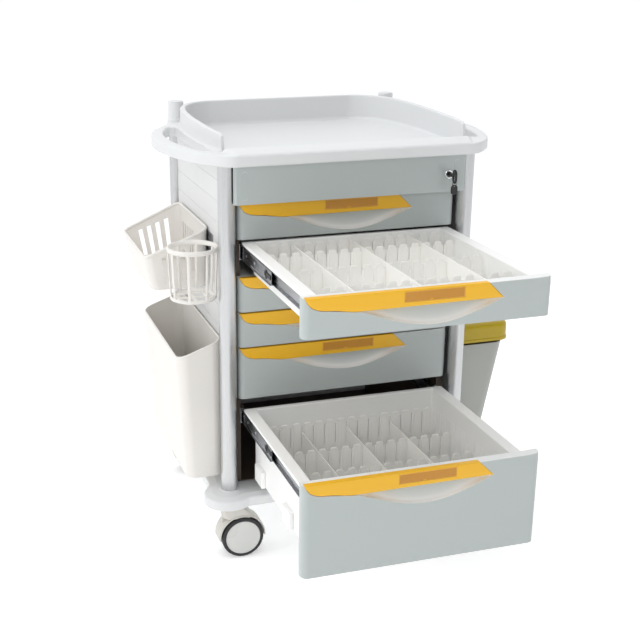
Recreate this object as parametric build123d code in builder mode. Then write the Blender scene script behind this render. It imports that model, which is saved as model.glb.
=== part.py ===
from build123d import *
import os

os.makedirs("parts", exist_ok=True)

# A wheeled medication cart: six drawers between four round posts, a worktop tray with
# side handles, a moulded base on four twin-wheel casters, and bins, a basket and a cup
# holder hung on its sides. +X is to the right seen from the drawers, the drawers face -Y.
# The second and the sixth drawer are modelled pulled out.

# ---------------------------------------------------------------- driving dimensions (mm)
POST_X = 280.0            # half the spacing of the posts, side to side
POST_Y = 236.0            # half the spacing of the posts, front to back
POST_R = 19.0
POST_WALL = 2.0
BASE_BOTTOM = 143.0
BASE_TOP = 170.0
BASE_WALL = 4.0
WORKTOP_BOTTOM = 928.0
WORKTOP_EDGE = 954.0      # top of the outer lip and of the hand grips
WORKTOP_FLOOR = 948.0
RIM_TOP = 996.0
BOSS_TOP = 1003.0

CABINET_BOTTOM = 174.0
CABINET_TOP = 925.0
DRAWER_UNIT = 82.5        # height of a one-unit drawer
DRAWER_STACK_TOP = 840.0
DRAWER_UNITS = (1.0, 1.0, 1.0, 1.0, 1.5, 2.5)
DRAWER_GAP = 3.0
TRAY_DROP = (2.5, 2.5, 2.5, 2.5, 3.0, 20.5)      # tray flange below the top of its front
DRAWER_OPEN = (0.0, 436.0, 0.0, 0.0, 0.0, 445.0)  # how far each drawer stands out

FACE_Y = -239.0           # front face of a closed drawer
FRONT_HALF = 255.4
FRONT_DEPTH = 22.0
FRONT_END_R = 14.0
HANDLE_DEPTH = 12.0
TRAY_HALF = 222.0
TRAY_WALL = 3.0
TRAY_REAR = 196.0
FLANGE_HALF = 245.2
FLANGE_REAR = 205.0
FLANGE_HEM = 6.0

SLIDE_LENGTH = 445.0
SLIDE_REAR = 231.0
SLIDE_BELOW_FLANGE = 27.0
SLIDE_STEEL = 1.2
LINER_HALF = 245.6        # inner face of the cabinet liner

WHEEL_R = 50.0
WHEEL_WIDTH = 20.0
CASTER_TRAIL = 25.0
AXLE_R = 5.0
STEM_R = 6.0
RUNNING_GAP = 0.05        # radial clearance of a shaft in its bore

REACH_LEFT = 435.0        # outermost point of the basket
REACH_RIGHT = 474.0       # outermost point of the right-hand bin
REACH_REAR = 300.0        # rear lobes of the base

# The origin is on the floor under the middle of the whole footprint.
REACH_FRONT = -FACE_Y + max(DRAWER_OPEN)
CABINET_X = (REACH_LEFT - REACH_RIGHT) / 2
CABINET_Y = (REACH_FRONT - REACH_REAR) / 2


def level(z):
    """Horizontal plane at height z, centred on the cabinet."""
    return Plane(origin=(CABINET_X, CABINET_Y, z))


def facing_front(y):
    """Upright plane at depth y seen from the front: local x to the right, local y up."""
    return Plane(origin=(CABINET_X, CABINET_Y + y, 0), x_dir=(1, 0, 0), z_dir=(0, -1, 0))


def facing_right(x):
    """Upright plane at x, normal to +X: local x to the back, local y up."""
    return Plane(origin=(CABINET_X + x, CABINET_Y, 0), x_dir=(0, 1, 0), z_dir=(1, 0, 0))


def block(x, y, z, mode=Mode.ADD):
    """Box between (low, high) pairs measured from the cabinet's centre on the floor."""
    centre = (CABINET_X + sum(x) / 2, CABINET_Y + sum(y) / 2, sum(z) / 2)
    with Locations(centre):
        Box(abs(x[1] - x[0]), abs(y[1] - y[0]), abs(z[1] - z[0]), mode=mode)


def upright_rod(x, y, z, radius, mode=Mode.ADD):
    """Vertical cylinder between two heights z."""
    with Locations((CABINET_X + x, CABINET_Y + y, sum(z) / 2)):
        Cylinder(radius, z[1] - z[0], mode=mode)


def cross_rod(x, y, z, radius, mode=Mode.ADD):
    """Cylinder that runs front to back between two depths y."""
    with Locations(Location((CABINET_X + x, CABINET_Y + sum(y) / 2, z), (90, 0, 0))):
        Cylinder(radius, y[1] - y[0], mode=mode)


# ---------------------------------------------------------------- worktop
EDGE_FRONT = -288.0
EDGE_REAR = 284.0
EDGE_HALF = 266.0         # straight part of the front edge, either side of the middle
TRAY_FLOOR_SIZE = (552.0, 494.0, 60.0)
UNDERSIDE_HALF = (250.0, 214.0)
RIM_THICKNESS = 14.0
RIM_FRONT = -215.0
SOCKET_R = 11.0
SOCKET_DEPTH = 40.0

with BuildPart() as worktop:
    with BuildSketch(level(WORKTOP_BOTTOM)):
        with BuildLine():
            Line((0, EDGE_FRONT), (EDGE_HALF, EDGE_FRONT))
            Spline(
                (EDGE_HALF, EDGE_FRONT), (325, -243), (362, -165), (388, -35), (372, 86), (306, 217),
                tangents=((1, 0), (-0.35, 1)),
            )
            Spline((306, 217), (276, 262), (216, EDGE_REAR), tangents=((-0.35, 1), (-1, 0)))
            Line((216, EDGE_REAR), (0, EDGE_REAR))
            mirror(about=Plane.YZ)
        make_face()
        with BuildLine(mode=Mode.PRIVATE) as hand_slot:
            Line((303, 150), (303, -205))
            Spline((303, -205), (322, -203), (347, -117), (358, -25), (348, 70), (318, 148), (303, 150))
        slot_face = make_face(hand_slot.line, mode=Mode.SUBTRACT)
        mirror(slot_face, about=Plane.YZ, mode=Mode.SUBTRACT)
    extrude(amount=WORKTOP_EDGE - WORKTOP_BOTTOM)
    with BuildSketch(level(WORKTOP_FLOOR)):
        with Locations((0, 5)):
            RectangleRounded(*TRAY_FLOOR_SIZE)
    extrude(amount=RIM_TOP, mode=Mode.SUBTRACT)
    # hollow underside between the posts
    half_x, half_y = UNDERSIDE_HALF
    block((-half_x, half_x), (-half_y, half_y), (WORKTOP_BOTTOM, WORKTOP_FLOOR - BASE_WALL), Mode.SUBTRACT)
    # raised bead along the front edge
    with BuildSketch(facing_right(-EDGE_HALF)):
        with BuildLine():
            Polyline(
                (EDGE_FRONT + 4, WORKTOP_EDGE - 1), (-246, 961), (-238, 962), (-228, 956),
                (-222, WORKTOP_FLOOR - 1), (EDGE_FRONT + 4, WORKTOP_FLOOR - 1), close=True,
            )
        make_face()
    extrude(amount=2 * EDGE_HALF)
    # wall round the back and both sides
    with BuildSketch(level(WORKTOP_FLOOR - 1)):
        with BuildLine():
            flank = ThreePointArc((289, RIM_FRONT), (300, -10), (294, 190))
            bend = TangentArc((294, 190), (206, 280), tangent=flank % 1)
            Line(bend @ 1, (0, (bend @ 1).Y))
            mirror(about=Plane.YZ)
            Line((-289, RIM_FRONT), (-289 + RIM_THICKNESS, RIM_FRONT))
            inner = ThreePointArc(
                (-289 + RIM_THICKNESS, RIM_FRONT), (-300 + RIM_THICKNESS, -10), (-280, 190)
            )
            inner_bend = TangentArc(inner @ 1, (-206, 266), tangent=inner % 1)
            rear = Line(inner_bend @ 1, (206, (inner_bend @ 1).Y))
            far_bend = TangentArc(rear @ 1, (280, 190), tangent=rear % 1)
            ThreePointArc(far_bend @ 1, (300 - RIM_THICKNESS, -10), (289 - RIM_THICKNESS, RIM_FRONT))
            Line((289 - RIM_THICKNESS, RIM_FRONT), (289, RIM_FRONT))
        make_face()
    extrude(amount=RIM_TOP - WORKTOP_FLOOR + 1)
    # sockets for accessory poles over the rear posts
    for side in (-1, 1):
        upright_rod(side * POST_X, POST_Y, (WORKTOP_EDGE - 1, BOSS_TOP), POST_R)
        upright_rod(side * POST_X, POST_Y, (BOSS_TOP - SOCKET_DEPTH, BOSS_TOP), SOCKET_R, Mode.SUBTRACT)

worktop.part.label = "worktop"
export_step(worktop.part, "parts/worktop.step")

# ---------------------------------------------------------------- base
LOBE_R = 55.0
LOBE_X = 287.0
LOBE_Y = 245.0
BASE_HALF_X = 318.0
BASE_HALF_Y = 287.0
BASE_EDGE_R = 34.0        # hollow curve between a lobe and the straight edge
FRAME_BOTTOM = 147.0
FRAME_TOP = BASE_TOP - BASE_WALL
FRAME_RAIL = 22.0         # half the width of a side rail
FRAME_CROSS = (190.0, 20.0)   # distance of a cross rail from the middle, half its width
POCKET_GAP = 1.0

with BuildPart() as base_cover:
    with BuildSketch(level(BASE_BOTTOM)) as base_outline:
        Rectangle(2 * BASE_HALF_X, 2 * BASE_HALF_Y)
        with GridLocations(2 * LOBE_X, 2 * LOBE_Y, 2, 2):
            Circle(LOBE_R)
        fillet(base_outline.vertices(), BASE_EDGE_R)
    extrude(amount=BASE_TOP - BASE_BOTTOM)
    fillet(base_cover.faces().sort_by(Axis.Z)[-1].edges(), BASE_WALL)
    # pocket that takes the steel frame
    pocket_x = POST_X + FRAME_RAIL + POCKET_GAP
    pocket_y = POST_Y + FRAME_RAIL + POCKET_GAP
    block((-pocket_x, pocket_x), (-pocket_y, pocket_y), (BASE_BOTTOM, FRAME_TOP), Mode.SUBTRACT)
    for side in (-1, 1):
        for end in (-1, 1):
            upright_rod(side * POST_X, end * POST_Y, (BASE_BOTTOM, BASE_TOP), POST_R, Mode.SUBTRACT)

base_cover.part.label = "base_cover"
export_step(base_cover.part, "parts/base_cover.step")

with BuildPart() as base_frame:
    rail_y = POST_Y + FRAME_RAIL
    for side in (-1, 1):
        rail_x = side * POST_X
        block((rail_x - FRAME_RAIL, rail_x + FRAME_RAIL), (-rail_y, rail_y), (FRAME_BOTTOM, FRAME_TOP))
    for end in (-1, 1):
        cross_y = end * FRAME_CROSS[0]
        block(
            (-POST_X, POST_X), (cross_y - FRAME_CROSS[1], cross_y + FRAME_CROSS[1]),
            (FRAME_BOTTOM, FRAME_TOP),
        )
    for side in (-1, 1):
        for end in (-1, 1):
            upright_rod(
                side * POST_X, end * POST_Y, (FRAME_BOTTOM, FRAME_TOP), STEM_R + RUNNING_GAP, Mode.SUBTRACT
            )

base_frame.part.label = "base_frame"
export_step(base_frame.part, "parts/base_frame.step")

# ---------------------------------------------------------------- posts and panels
with BuildPart() as corner_posts:
    with BuildSketch(level(FRAME_TOP)):
        with GridLocations(2 * POST_X, 2 * POST_Y, 2, 2):
            Circle(POST_R)
            Circle(POST_R - POST_WALL, mode=Mode.SUBTRACT)
    extrude(amount=WORKTOP_BOTTOM - FRAME_TOP)

corner_posts.part.label = "corner_posts"
export_step(corner_posts.part, "parts/corner_posts.step")

PANEL_INNER = 280.0
PANEL_OUTER = 283.0
PANEL_HALF_DEPTH = 216.0
GROOVE_PITCH = 47.5
GROOVE_COUNT = 15
GROOVE_HALF = 1.5
GROOVE_DEPTH = 0.8

with BuildPart() as side_panels:
    for side in (-1, 1):
        block(
            (side * PANEL_INNER, side * PANEL_OUTER), (-PANEL_HALF_DEPTH, PANEL_HALF_DEPTH),
            (BASE_TOP, WORKTOP_BOTTOM),
        )
        for row in range(GROOVE_COUNT):
            groove_z = WORKTOP_BOTTOM - GROOVE_PITCH * (row + 0.95)
            block(
                (side * (PANEL_OUTER - GROOVE_DEPTH), side * PANEL_OUTER),
                (-PANEL_HALF_DEPTH, PANEL_HALF_DEPTH),
                (groove_z - GROOVE_HALF, groove_z + GROOVE_HALF), Mode.SUBTRACT,
            )

side_panels.part.label = "side_panels"
export_step(side_panels.part, "parts/side_panels.step")

REAR_PANEL_Y = (233.0, 236.0)
REAR_PANEL_HALF = 260.0
SCREW_SPOTS = [(x, z) for x in (-240, 240) for z in (215, 430, 645, 880)]
SCREW_R = 2.0

with BuildPart() as rear_panel:
    block((-REAR_PANEL_HALF, REAR_PANEL_HALF), REAR_PANEL_Y, (BASE_TOP, WORKTOP_BOTTOM))
    for x, z in SCREW_SPOTS:
        cross_rod(x, (REAR_PANEL_Y[0] - 1, REAR_PANEL_Y[1] + 1), z, SCREW_R, Mode.SUBTRACT)

rear_panel.part.label = "rear_panel"
export_step(rear_panel.part, "parts/rear_panel.step")

with BuildPart() as rear_screws:
    for x, z in SCREW_SPOTS:
        cross_rod(x, (REAR_PANEL_Y[0], REAR_PANEL_Y[1]), z, SCREW_R)
        cross_rod(x, (REAR_PANEL_Y[1], REAR_PANEL_Y[1] + 2.4), z, 2 * SCREW_R)

rear_screws.part.label = "rear_screws"
export_step(rear_screws.part, "parts/rear_screws.step")

# Folded steel liner that carries the slides: two walls, a floor and a roof.
LINER_STEEL = 1.5
LINER_Y = (-214.0, 232.0)
LINER_FLANGE = 260.0
LOCK_BAR_X = (LINER_HALF + 2.5, LINER_HALF + 5.5)
LOCK_BAR_Y = (60.0, 84.0)
BAR_TRAVEL = 8.0

drawer_tops = []
stack_z = DRAWER_STACK_TOP
for units in DRAWER_UNITS:
    drawer_tops.append(stack_z)
    stack_z -= units * DRAWER_UNIT
tray_tops = [top - drop for top, drop in zip(drawer_tops, TRAY_DROP)]
slide_heights = [top - SLIDE_BELOW_FLANGE for top in tray_tops]
TAB_BELOW_SLIDE = 32.0

with BuildPart() as drawer_frame:
    for side in (-1, 1):
        wall = (side * LINER_HALF, side * (LINER_HALF + LINER_STEEL))
        block(wall, LINER_Y, (CABINET_BOTTOM, CABINET_TOP))
        for y in (LINER_Y[0], LINER_Y[1] - LINER_STEEL):
            block(
                (side * LINER_HALF, side * LINER_FLANGE), (y, y + LINER_STEEL), (CABINET_BOTTOM, CABINET_TOP)
            )
    for z in (CABINET_BOTTOM, CABINET_TOP - LINER_STEEL):
        block((-LINER_HALF, LINER_HALF), LINER_Y, (z, z + LINER_STEEL))
    for slide_z in slide_heights:
        window_z = slide_z - TAB_BELOW_SLIDE
        block(
            (LINER_HALF - 1, LINER_HALF + LINER_STEEL + 1), (LOCK_BAR_Y[0] + 4, LOCK_BAR_Y[1] - 4),
            (window_z - 6, window_z + BAR_TRAVEL + 6), Mode.SUBTRACT,
        )

drawer_frame.part.label = "drawer_frame"
export_step(drawer_frame.part, "parts/drawer_frame.step")

# ---------------------------------------------------------------- lock panel and lock
LOCK_PANEL_Z = (843.0, 924.0)
LOCK_PANEL_Y = -262.0
LOCK_PANEL_HALF = 270.0
LOCK_X = 226.5
LOCK_Z = 882.6
LOCK_R = 8.0
PLUG_R = 5.0

with BuildPart() as lock_panel:
    with BuildSketch(level(LOCK_PANEL_Z[0])):
        with BuildLine():
            Polyline(
                (-LOCK_PANEL_HALF, -256), (-LOCK_PANEL_HALF + 6, LOCK_PANEL_Y),
                (LOCK_PANEL_HALF - 6, LOCK_PANEL_Y), (LOCK_PANEL_HALF, -256),
                (LOCK_PANEL_HALF - 3, -256), (LOCK_PANEL_HALF - 8, -259),
                (-LOCK_PANEL_HALF + 8, -259), (-LOCK_PANEL_HALF + 3, -256), close=True,
            )
        make_face()
    extrude(amount=LOCK_PANEL_Z[1] - LOCK_PANEL_Z[0])
    for z in (LOCK_PANEL_Z[0], LOCK_PANEL_Z[1] - 3):
        block((-258, 258), (-259, -217), (z, z + 3))
    cross_rod(LOCK_X, (-265, -256), LOCK_Z, LOCK_R, Mode.SUBTRACT)

lock_panel.part.label = "lock_panel"
export_step(lock_panel.part, "parts/lock_panel.step")

with BuildPart() as lock_housing:
    cross_rod(LOCK_X, (-262, -232), LOCK_Z, LOCK_R)
    cross_rod(LOCK_X, (-265, -262), LOCK_Z, LOCK_R + 2)
    cross_rod(LOCK_X, (-266, -231), LOCK_Z, PLUG_R + RUNNING_GAP, Mode.SUBTRACT)
    chamfer(lock_housing.edges().filter_by(GeomType.CIRCLE).group_by(Axis.Y)[0], 0.8)

lock_housing.part.label = "lock_housing"
export_step(lock_housing.part, "parts/lock_housing.step")

# The key stands in the plug; plug, blade and bow turn together, with a cam at the back.
BOW_Y = -291.0
BOW_Z = LOCK_Z - 1.0
BOW_HOLE_Z = BOW_Z - 5.0
BOW_THICKNESS = 3.0
BOW_SIZE = (31.0, 20.0)
BOW_HOLE = (16.0, 6.0)
LOOP_WIDTH = 9.0
LOOP_HEIGHT = 9.0
LOOP_CORNER_R = 2.2
LOOP_WIRE_R = 0.7
LOOP_TOP = BOW_HOLE_Z - BOW_HOLE[0] / 2 + LOOP_WIRE_R + 0.1
SPARE_SIZE = (23.0, 16.0)
SPARE_THICKNESS = 2.4
SPARE_HOLE_R = 1.8

with BuildPart() as key:
    cross_rod(LOCK_X, (-266, -229), LOCK_Z, PLUG_R)
    block((LOCK_X - 1.2, LOCK_X + 1.2), (-282, -264), (LOCK_Z - 4, LOCK_Z + 4))
    with BuildSketch(facing_right(LOCK_X - BOW_THICKNESS / 2)):
        with Locations((BOW_Y, BOW_Z)):
            SlotOverall(*BOW_SIZE, rotation=90)
        with Locations((BOW_Y, BOW_HOLE_Z)):
            SlotOverall(*BOW_HOLE, rotation=90, mode=Mode.SUBTRACT)
    extrude(amount=BOW_THICKNESS)
    block((LOCK_X - 4, LOCK_X + 4), (-229, -226), (LOCK_Z - 5, LOCK_Z + 14))

key.part.label = "key"
export_step(key.part, "parts/key.step")

# The spare key hangs from the first one on a wire loop. The loop's straight top side lies
# in the bow's hole, and the spare key swings about it.
with BuildPart() as spare_key:
    loop_left = LOCK_X - LOOP_WIDTH / 2
    loop_right = LOCK_X + LOOP_WIDTH / 2
    loop_low = LOOP_TOP - LOOP_HEIGHT
    with BuildLine(facing_front(BOW_Y)) as loop_line:
        FilletPolyline(
            (loop_left, loop_low), (loop_left, LOOP_TOP), (loop_right, LOOP_TOP), (loop_right, loop_low),
            radius=LOOP_CORNER_R, close=True,
        )
    with BuildSketch(facing_right(LOCK_X)):
        with Locations((BOW_Y, LOOP_TOP)):
            Circle(LOOP_WIRE_R)
    sweep(path=loop_line.wires()[0])
    with BuildSketch(facing_front(BOW_Y + SPARE_THICKNESS / 2)):
        with Locations((LOCK_X, loop_low + LOOP_WIRE_R + 3 - SPARE_SIZE[0] / 2)):
            SlotOverall(*SPARE_SIZE, rotation=90)
        with Locations((LOCK_X, loop_low)):
            Circle(SPARE_HOLE_R, mode=Mode.SUBTRACT)
    extrude(amount=SPARE_THICKNESS)

spare_key.part.label = "spare_key"
export_step(spare_key.part, "parts/spare_key.step")

with BuildPart() as lock_bar:
    block(LOCK_BAR_X, LOCK_BAR_Y, (200, 900))
    for slide_z in slide_heights:
        tab_z = slide_z - TAB_BELOW_SLIDE
        block((LINER_HALF, LOCK_BAR_X[0]), (LOCK_BAR_Y[0] + 6, LOCK_BAR_Y[1] - 6), (tab_z - 4, tab_z + 4))

lock_bar.part.label = "lock_bar"
export_step(lock_bar.part, "parts/lock_bar.step")

# ---------------------------------------------------------------- drawer slides
# Each slide has three nested channels: where its lips start and end, the inner face of its
# web, all measured outwards from the cabinet's middle, and its height.
CABINET_MEMBER = (237.5, 245.6, 244.4, 35.0)
MIDDLE_MEMBER = (234.6, 243.4, 239.6, 31.0)
DRAWER_MEMBER = (232.0, 238.4, 232.0, 27.0)


def slide_member(side, member, slide_z, rear):
    """One steel channel of a slide, with its back end at depth rear."""
    lip_start, lip_end, web_x, height = member
    top = slide_z + height / 2
    bottom = slide_z - height / 2
    span = (rear - SLIDE_LENGTH, rear)
    block((side * web_x, side * (web_x + SLIDE_STEEL)), span, (bottom, top))
    block((side * lip_start, side * lip_end), span, (top - SLIDE_STEEL, top))
    block((side * lip_start, side * lip_end), span, (bottom, bottom + SLIDE_STEEL))


with BuildPart() as slide_cabinet_members:
    for slide_z in slide_heights:
        for side in (-1, 1):
            slide_member(side, CABINET_MEMBER, slide_z, SLIDE_REAR)

slide_cabinet_members.part.label = "slide_cabinet_members"
export_step(slide_cabinet_members.part, "parts/slide_cabinet_members.step")

for number, (slide_z, opened) in enumerate(zip(slide_heights, DRAWER_OPEN), start=1):
    with BuildPart() as slide_middle:
        for side in (-1, 1):
            slide_member(side, MIDDLE_MEMBER, slide_z, SLIDE_REAR - opened / 2)
    slide_middle.part.label = f"slide_middle_{number}"
    export_step(slide_middle.part, f"parts/slide_middle_{number}.step")

    with BuildPart() as slide_inner:
        for side in (-1, 1):
            slide_member(side, DRAWER_MEMBER, slide_z, SLIDE_REAR - opened)
    slide_inner.part.label = f"slide_inner_{number}"
    export_step(slide_inner.part, f"parts/slide_inner_{number}.step")

# ---------------------------------------------------------------- drawers
HANDLE_TIP_X = 153.0
HANDLE_TOP_RIGHT = 120.0
HANDLE_FLAT_LEFT = -206.0
SCOOP_LEFT = -118.0
HANDLE_DROP = 27.0
SCOOP_LOW = (2.0, 62.0)
SCOOP_DEPTH = 15.0
WINDOW_X = (-46.0, 76.0)
WINDOW_DROP = (3.0, 25.0)
WINDOW_DEPTH = 1.2
PAD_SPANS = ((130, 180), (-125, -72), (-212, -180))
TRAY_BOTTOM_GAP = 5.0
DEEP_TRAY_BOTTOM = (0, 0, 0, 0, 15.0, 18.0)       # extra lift of the deep trays' floor
PAD_DROP = 12.0           # pads reach this far below the slide's middle
BUFFER_Z = (20.0, 62.0)   # lower buffers of the deepest tray, above its floor


def front_plan(face):
    """Plan of a drawer front: a bar whose two outer corners are rounded."""
    with Locations((0, face + FRONT_DEPTH / 2)):
        bar = Rectangle(2 * FRONT_HALF, FRONT_DEPTH)
    fillet(bar.vertices().group_by(Axis.Y)[0], FRONT_END_R)


def handle_outline(top):
    """Front view of a handle whose upper edge is at height top."""
    with BuildLine(Plane.XY) as outline:
        Spline(
            (-FRONT_HALF + 4, top), (-238, top - 20), (HANDLE_FLAT_LEFT, top - HANDLE_DROP),
            tangents=((0.35, -1), (1, 0)),
        )
        Polyline(
            (HANDLE_FLAT_LEFT, top - HANDLE_DROP), (SCOOP_LEFT, top - HANDLE_DROP),
            (HANDLE_TIP_X, top - HANDLE_DROP - 2), (HANDLE_TOP_RIGHT, top), (-FRONT_HALF + 4, top),
        )
    return outline.line


for number, units in enumerate(DRAWER_UNITS, start=1):
    opened = DRAWER_OPEN[number - 1]
    top = drawer_tops[number - 1]
    bottom = top - units * DRAWER_UNIT + DRAWER_GAP
    face = FACE_Y - opened
    flange_z = tray_tops[number - 1]
    tray_bottom = bottom + TRAY_BOTTOM_GAP + DEEP_TRAY_BOTTOM[number - 1]
    slide_z = slide_heights[number - 1]

    with BuildPart() as drawer_front:
        with BuildSketch(level(bottom)):
            front_plan(face)
        extrude(amount=top - bottom)
        # seat of the handle
        with BuildSketch(facing_front(face + HANDLE_DEPTH)):
            make_face(handle_outline(top))
        extrude(amount=HANDLE_DEPTH, mode=Mode.SUBTRACT)
        # finger scoop, which runs up behind the handle
        with BuildSketch(facing_front(face + SCOOP_DEPTH)):
            with BuildLine():
                ThreePointArc(
                    (SCOOP_LEFT, top - HANDLE_DROP), (SCOOP_LOW[0], top - SCOOP_LOW[1]),
                    (HANDLE_TIP_X, top - HANDLE_DROP - 2),
                )
                Line((HANDLE_TIP_X, top - HANDLE_DROP - 2), (SCOOP_LEFT, top - HANDLE_DROP))
            make_face()
        extrude(amount=SCOOP_DEPTH, mode=Mode.SUBTRACT)
        block(
            (SCOOP_LEFT + 10, HANDLE_TIP_X - 30), (face + HANDLE_DEPTH, face + SCOOP_DEPTH),
            (top - HANDLE_DROP - 1, top - 8), Mode.SUBTRACT,
        )
    drawer_front.part.label = f"drawer_front_{number}"
    export_step(drawer_front.part, f"parts/drawer_front_{number}.step")

    with BuildPart() as handle:
        with BuildSketch(facing_front(face + HANDLE_DEPTH)):
            make_face(handle_outline(top))
        extrude(amount=HANDLE_DEPTH)
        # the handle follows the rounded end of the front
        with BuildSketch(level(bottom)):
            front_plan(face)
        extrude(amount=top - bottom, mode=Mode.INTERSECT)
        # seat of the label window
        block(
            WINDOW_X, (face, face + WINDOW_DEPTH), (top - WINDOW_DROP[1], top - WINDOW_DROP[0]), Mode.SUBTRACT
        )
    handle.part.label = f"handle_{number}"
    export_step(handle.part, f"parts/handle_{number}.step")

    back = face + FRONT_DEPTH
    rear = TRAY_REAR - opened
    with BuildPart() as tray:
        block((-TRAY_HALF, TRAY_HALF), (back, rear), (tray_bottom, flange_z))
        block((-FLANGE_HALF, FLANGE_HALF), (back, FLANGE_REAR - opened), (flange_z - FLANGE_HEM, flange_z))
        block(
            (-FLANGE_HALF + 2, -TRAY_HALF), (back + 2, FLANGE_REAR - 2 - opened),
            (flange_z - FLANGE_HEM, flange_z - TRAY_WALL), Mode.SUBTRACT,
        )
        block(
            (TRAY_HALF, FLANGE_HALF - 2), (back + 2, FLANGE_REAR - 2 - opened),
            (flange_z - FLANGE_HEM, flange_z - TRAY_WALL), Mode.SUBTRACT,
        )
        block(
            (-TRAY_HALF + TRAY_WALL, TRAY_HALF - TRAY_WALL), (back + TRAY_WALL, rear - TRAY_WALL),
            (tray_bottom + TRAY_WALL, flange_z), Mode.SUBTRACT,
        )
        # pads that carry the slides, and the lower buffers of the deep trays
        for low, high in PAD_SPANS:
            for side in (-1, 1):
                pad_x = (side * TRAY_HALF, side * DRAWER_MEMBER[0])
                pad_y = (low - opened, high - opened)
                block(pad_x, pad_y, (slide_z - PAD_DROP, flange_z - TRAY_WALL))
                if units > 2:
                    block(pad_x, pad_y, (tray_bottom + BUFFER_Z[0], tray_bottom + BUFFER_Z[1]))
    tray.part.label = f"drawer_tray_{number}"
    export_step(tray.part, f"parts/drawer_tray_{number}.step")

# ---------------------------------------------------------------- drawer dividers
# Drawer number, tops of the long plates, of the cross plates and of the plate at the back,
# places of the long plates, and distances of the cross plates from the back wall.
DIVIDER_SETS = (
    (2, 748.0, 747.0, 747.0, (-137.5, 0.0, 137.5), (79.0, 210.5, 339.5)),
    (6, 298.0, 299.0, 320.0, (-110.0, 0.0, 110.0), (105.5, 214.0, 322.0)),
)
PLATE = 1.8
PLATE_GAP = 0.2

for number, long_top, cross_top, rear_top, columns, rows in DIVIDER_SETS:
    opened = DRAWER_OPEN[number - 1]
    bottom = drawer_tops[number - 1] - DRAWER_UNITS[number - 1] * DRAWER_UNIT + DRAWER_GAP
    floor_z = bottom + TRAY_BOTTOM_GAP + DEEP_TRAY_BOTTOM[number - 1] + TRAY_WALL
    rear_wall = TRAY_REAR - TRAY_WALL - opened
    front_wall = FACE_Y + FRONT_DEPTH + TRAY_WALL - opened
    inner = TRAY_HALF - TRAY_WALL
    with BuildPart() as dividers:
        block((-inner, inner), (rear_wall - PLATE, rear_wall), (floor_z, rear_top))
        for x in columns:
            block(
                (x - PLATE / 2, x + PLATE / 2), (front_wall, rear_wall - PLATE - PLATE_GAP),
                (floor_z, long_top),
            )
        edges_x = (-inner - PLATE / 2 - PLATE_GAP,) + columns + (inner + PLATE / 2 + PLATE_GAP,)
        for low_x, high_x in zip(edges_x[:-1], edges_x[1:]):
            for distance in rows:
                block(
                    (low_x + PLATE / 2 + PLATE_GAP, high_x - PLATE / 2 - PLATE_GAP),
                    (rear_wall - distance - PLATE / 2, rear_wall - distance + PLATE / 2),
                    (floor_z, cross_top),
                )
    dividers.part.label = f"dividers_{number}"
    export_step(dividers.part, f"parts/dividers_{number}.step")

# ---------------------------------------------------------------- casters
HOOD_R = 56.0
HOOD_INNER_R = 52.0
HOUSING_R = 20.0
WHEEL_INNER = 7.0         # gap from the caster's middle plane to a wheel
CORNERS = {
    "front_left": (-1, -1), "front_right": (1, -1), "rear_left": (-1, 1), "rear_right": (1, 1),
}

for corner_name, (side, end) in CORNERS.items():
    stem_x = side * POST_X
    stem_y = end * POST_Y
    wheel_x = stem_x + CASTER_TRAIL
    hood_y = (stem_y - WHEEL_INNER - WHEEL_WIDTH + 4, stem_y + WHEEL_INNER + WHEEL_WIDTH - 4)
    with BuildPart() as caster:
        cross_rod(wheel_x, hood_y, WHEEL_R, HOOD_R)
        cross_rod(wheel_x, hood_y, WHEEL_R, HOOD_INNER_R, Mode.SUBTRACT)
        block(
            (wheel_x - 70, wheel_x + 70), (hood_y[0] - 1, hood_y[1] + 1), (-20, WHEEL_R + 4), Mode.SUBTRACT
        )
        upright_rod(stem_x, stem_y, (WHEEL_R + 4, BASE_BOTTOM - 1), HOUSING_R)
        cross_rod(wheel_x, (hood_y[0] - 1, hood_y[1] + 1), WHEEL_R, HOOD_INNER_R, Mode.SUBTRACT)
        cross_rod(wheel_x, (stem_y - 4, stem_y + 4), WHEEL_R, HOOD_INNER_R - 6)
        block(
            (wheel_x - HOOD_INNER_R + 1, wheel_x + 30), (stem_y - 4, stem_y + 4), (WHEEL_R + 10, WHEEL_R + 44)
        )
        block((stem_x - 10, stem_x + 20), (stem_y - 4, stem_y + 4), (WHEEL_R + 4, BASE_BOTTOM - 20))
        cross_rod(
            wheel_x, (stem_y - WHEEL_INNER - WHEEL_WIDTH + 2, stem_y + WHEEL_INNER + WHEEL_WIDTH - 2),
            WHEEL_R, AXLE_R,
        )
        upright_rod(stem_x, stem_y, (BASE_BOTTOM - 2, FRAME_TOP - 2), STEM_R)
    caster.part.label = f"caster_{corner_name}"
    export_step(caster.part, f"parts/caster_{corner_name}.step")

    with BuildPart() as wheels:
        for way in (-1, 1):
            low = stem_y + way * WHEEL_INNER
            high = stem_y + way * (WHEEL_INNER + WHEEL_WIDTH)
            cross_rod(wheel_x, (min(low, high), max(low, high)), WHEEL_R, WHEEL_R)
            cross_rod(
                wheel_x, (min(low, high - way * 1.5), max(low, high - way * 1.5)), WHEEL_R,
                AXLE_R + RUNNING_GAP, Mode.SUBTRACT,
            )
        fillet(wheels.edges().filter_by(GeomType.CIRCLE).filter_by(lambda e: e.radius > 40), 3.5)
    wheels.part.label = f"wheels_{corner_name}"
    export_step(wheels.part, f"parts/wheels_{corner_name}.step")

# ---------------------------------------------------------------- hung accessories
SHELL = 2.5
HANG_X = -286.0           # cabinet side of what hangs on the left


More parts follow.
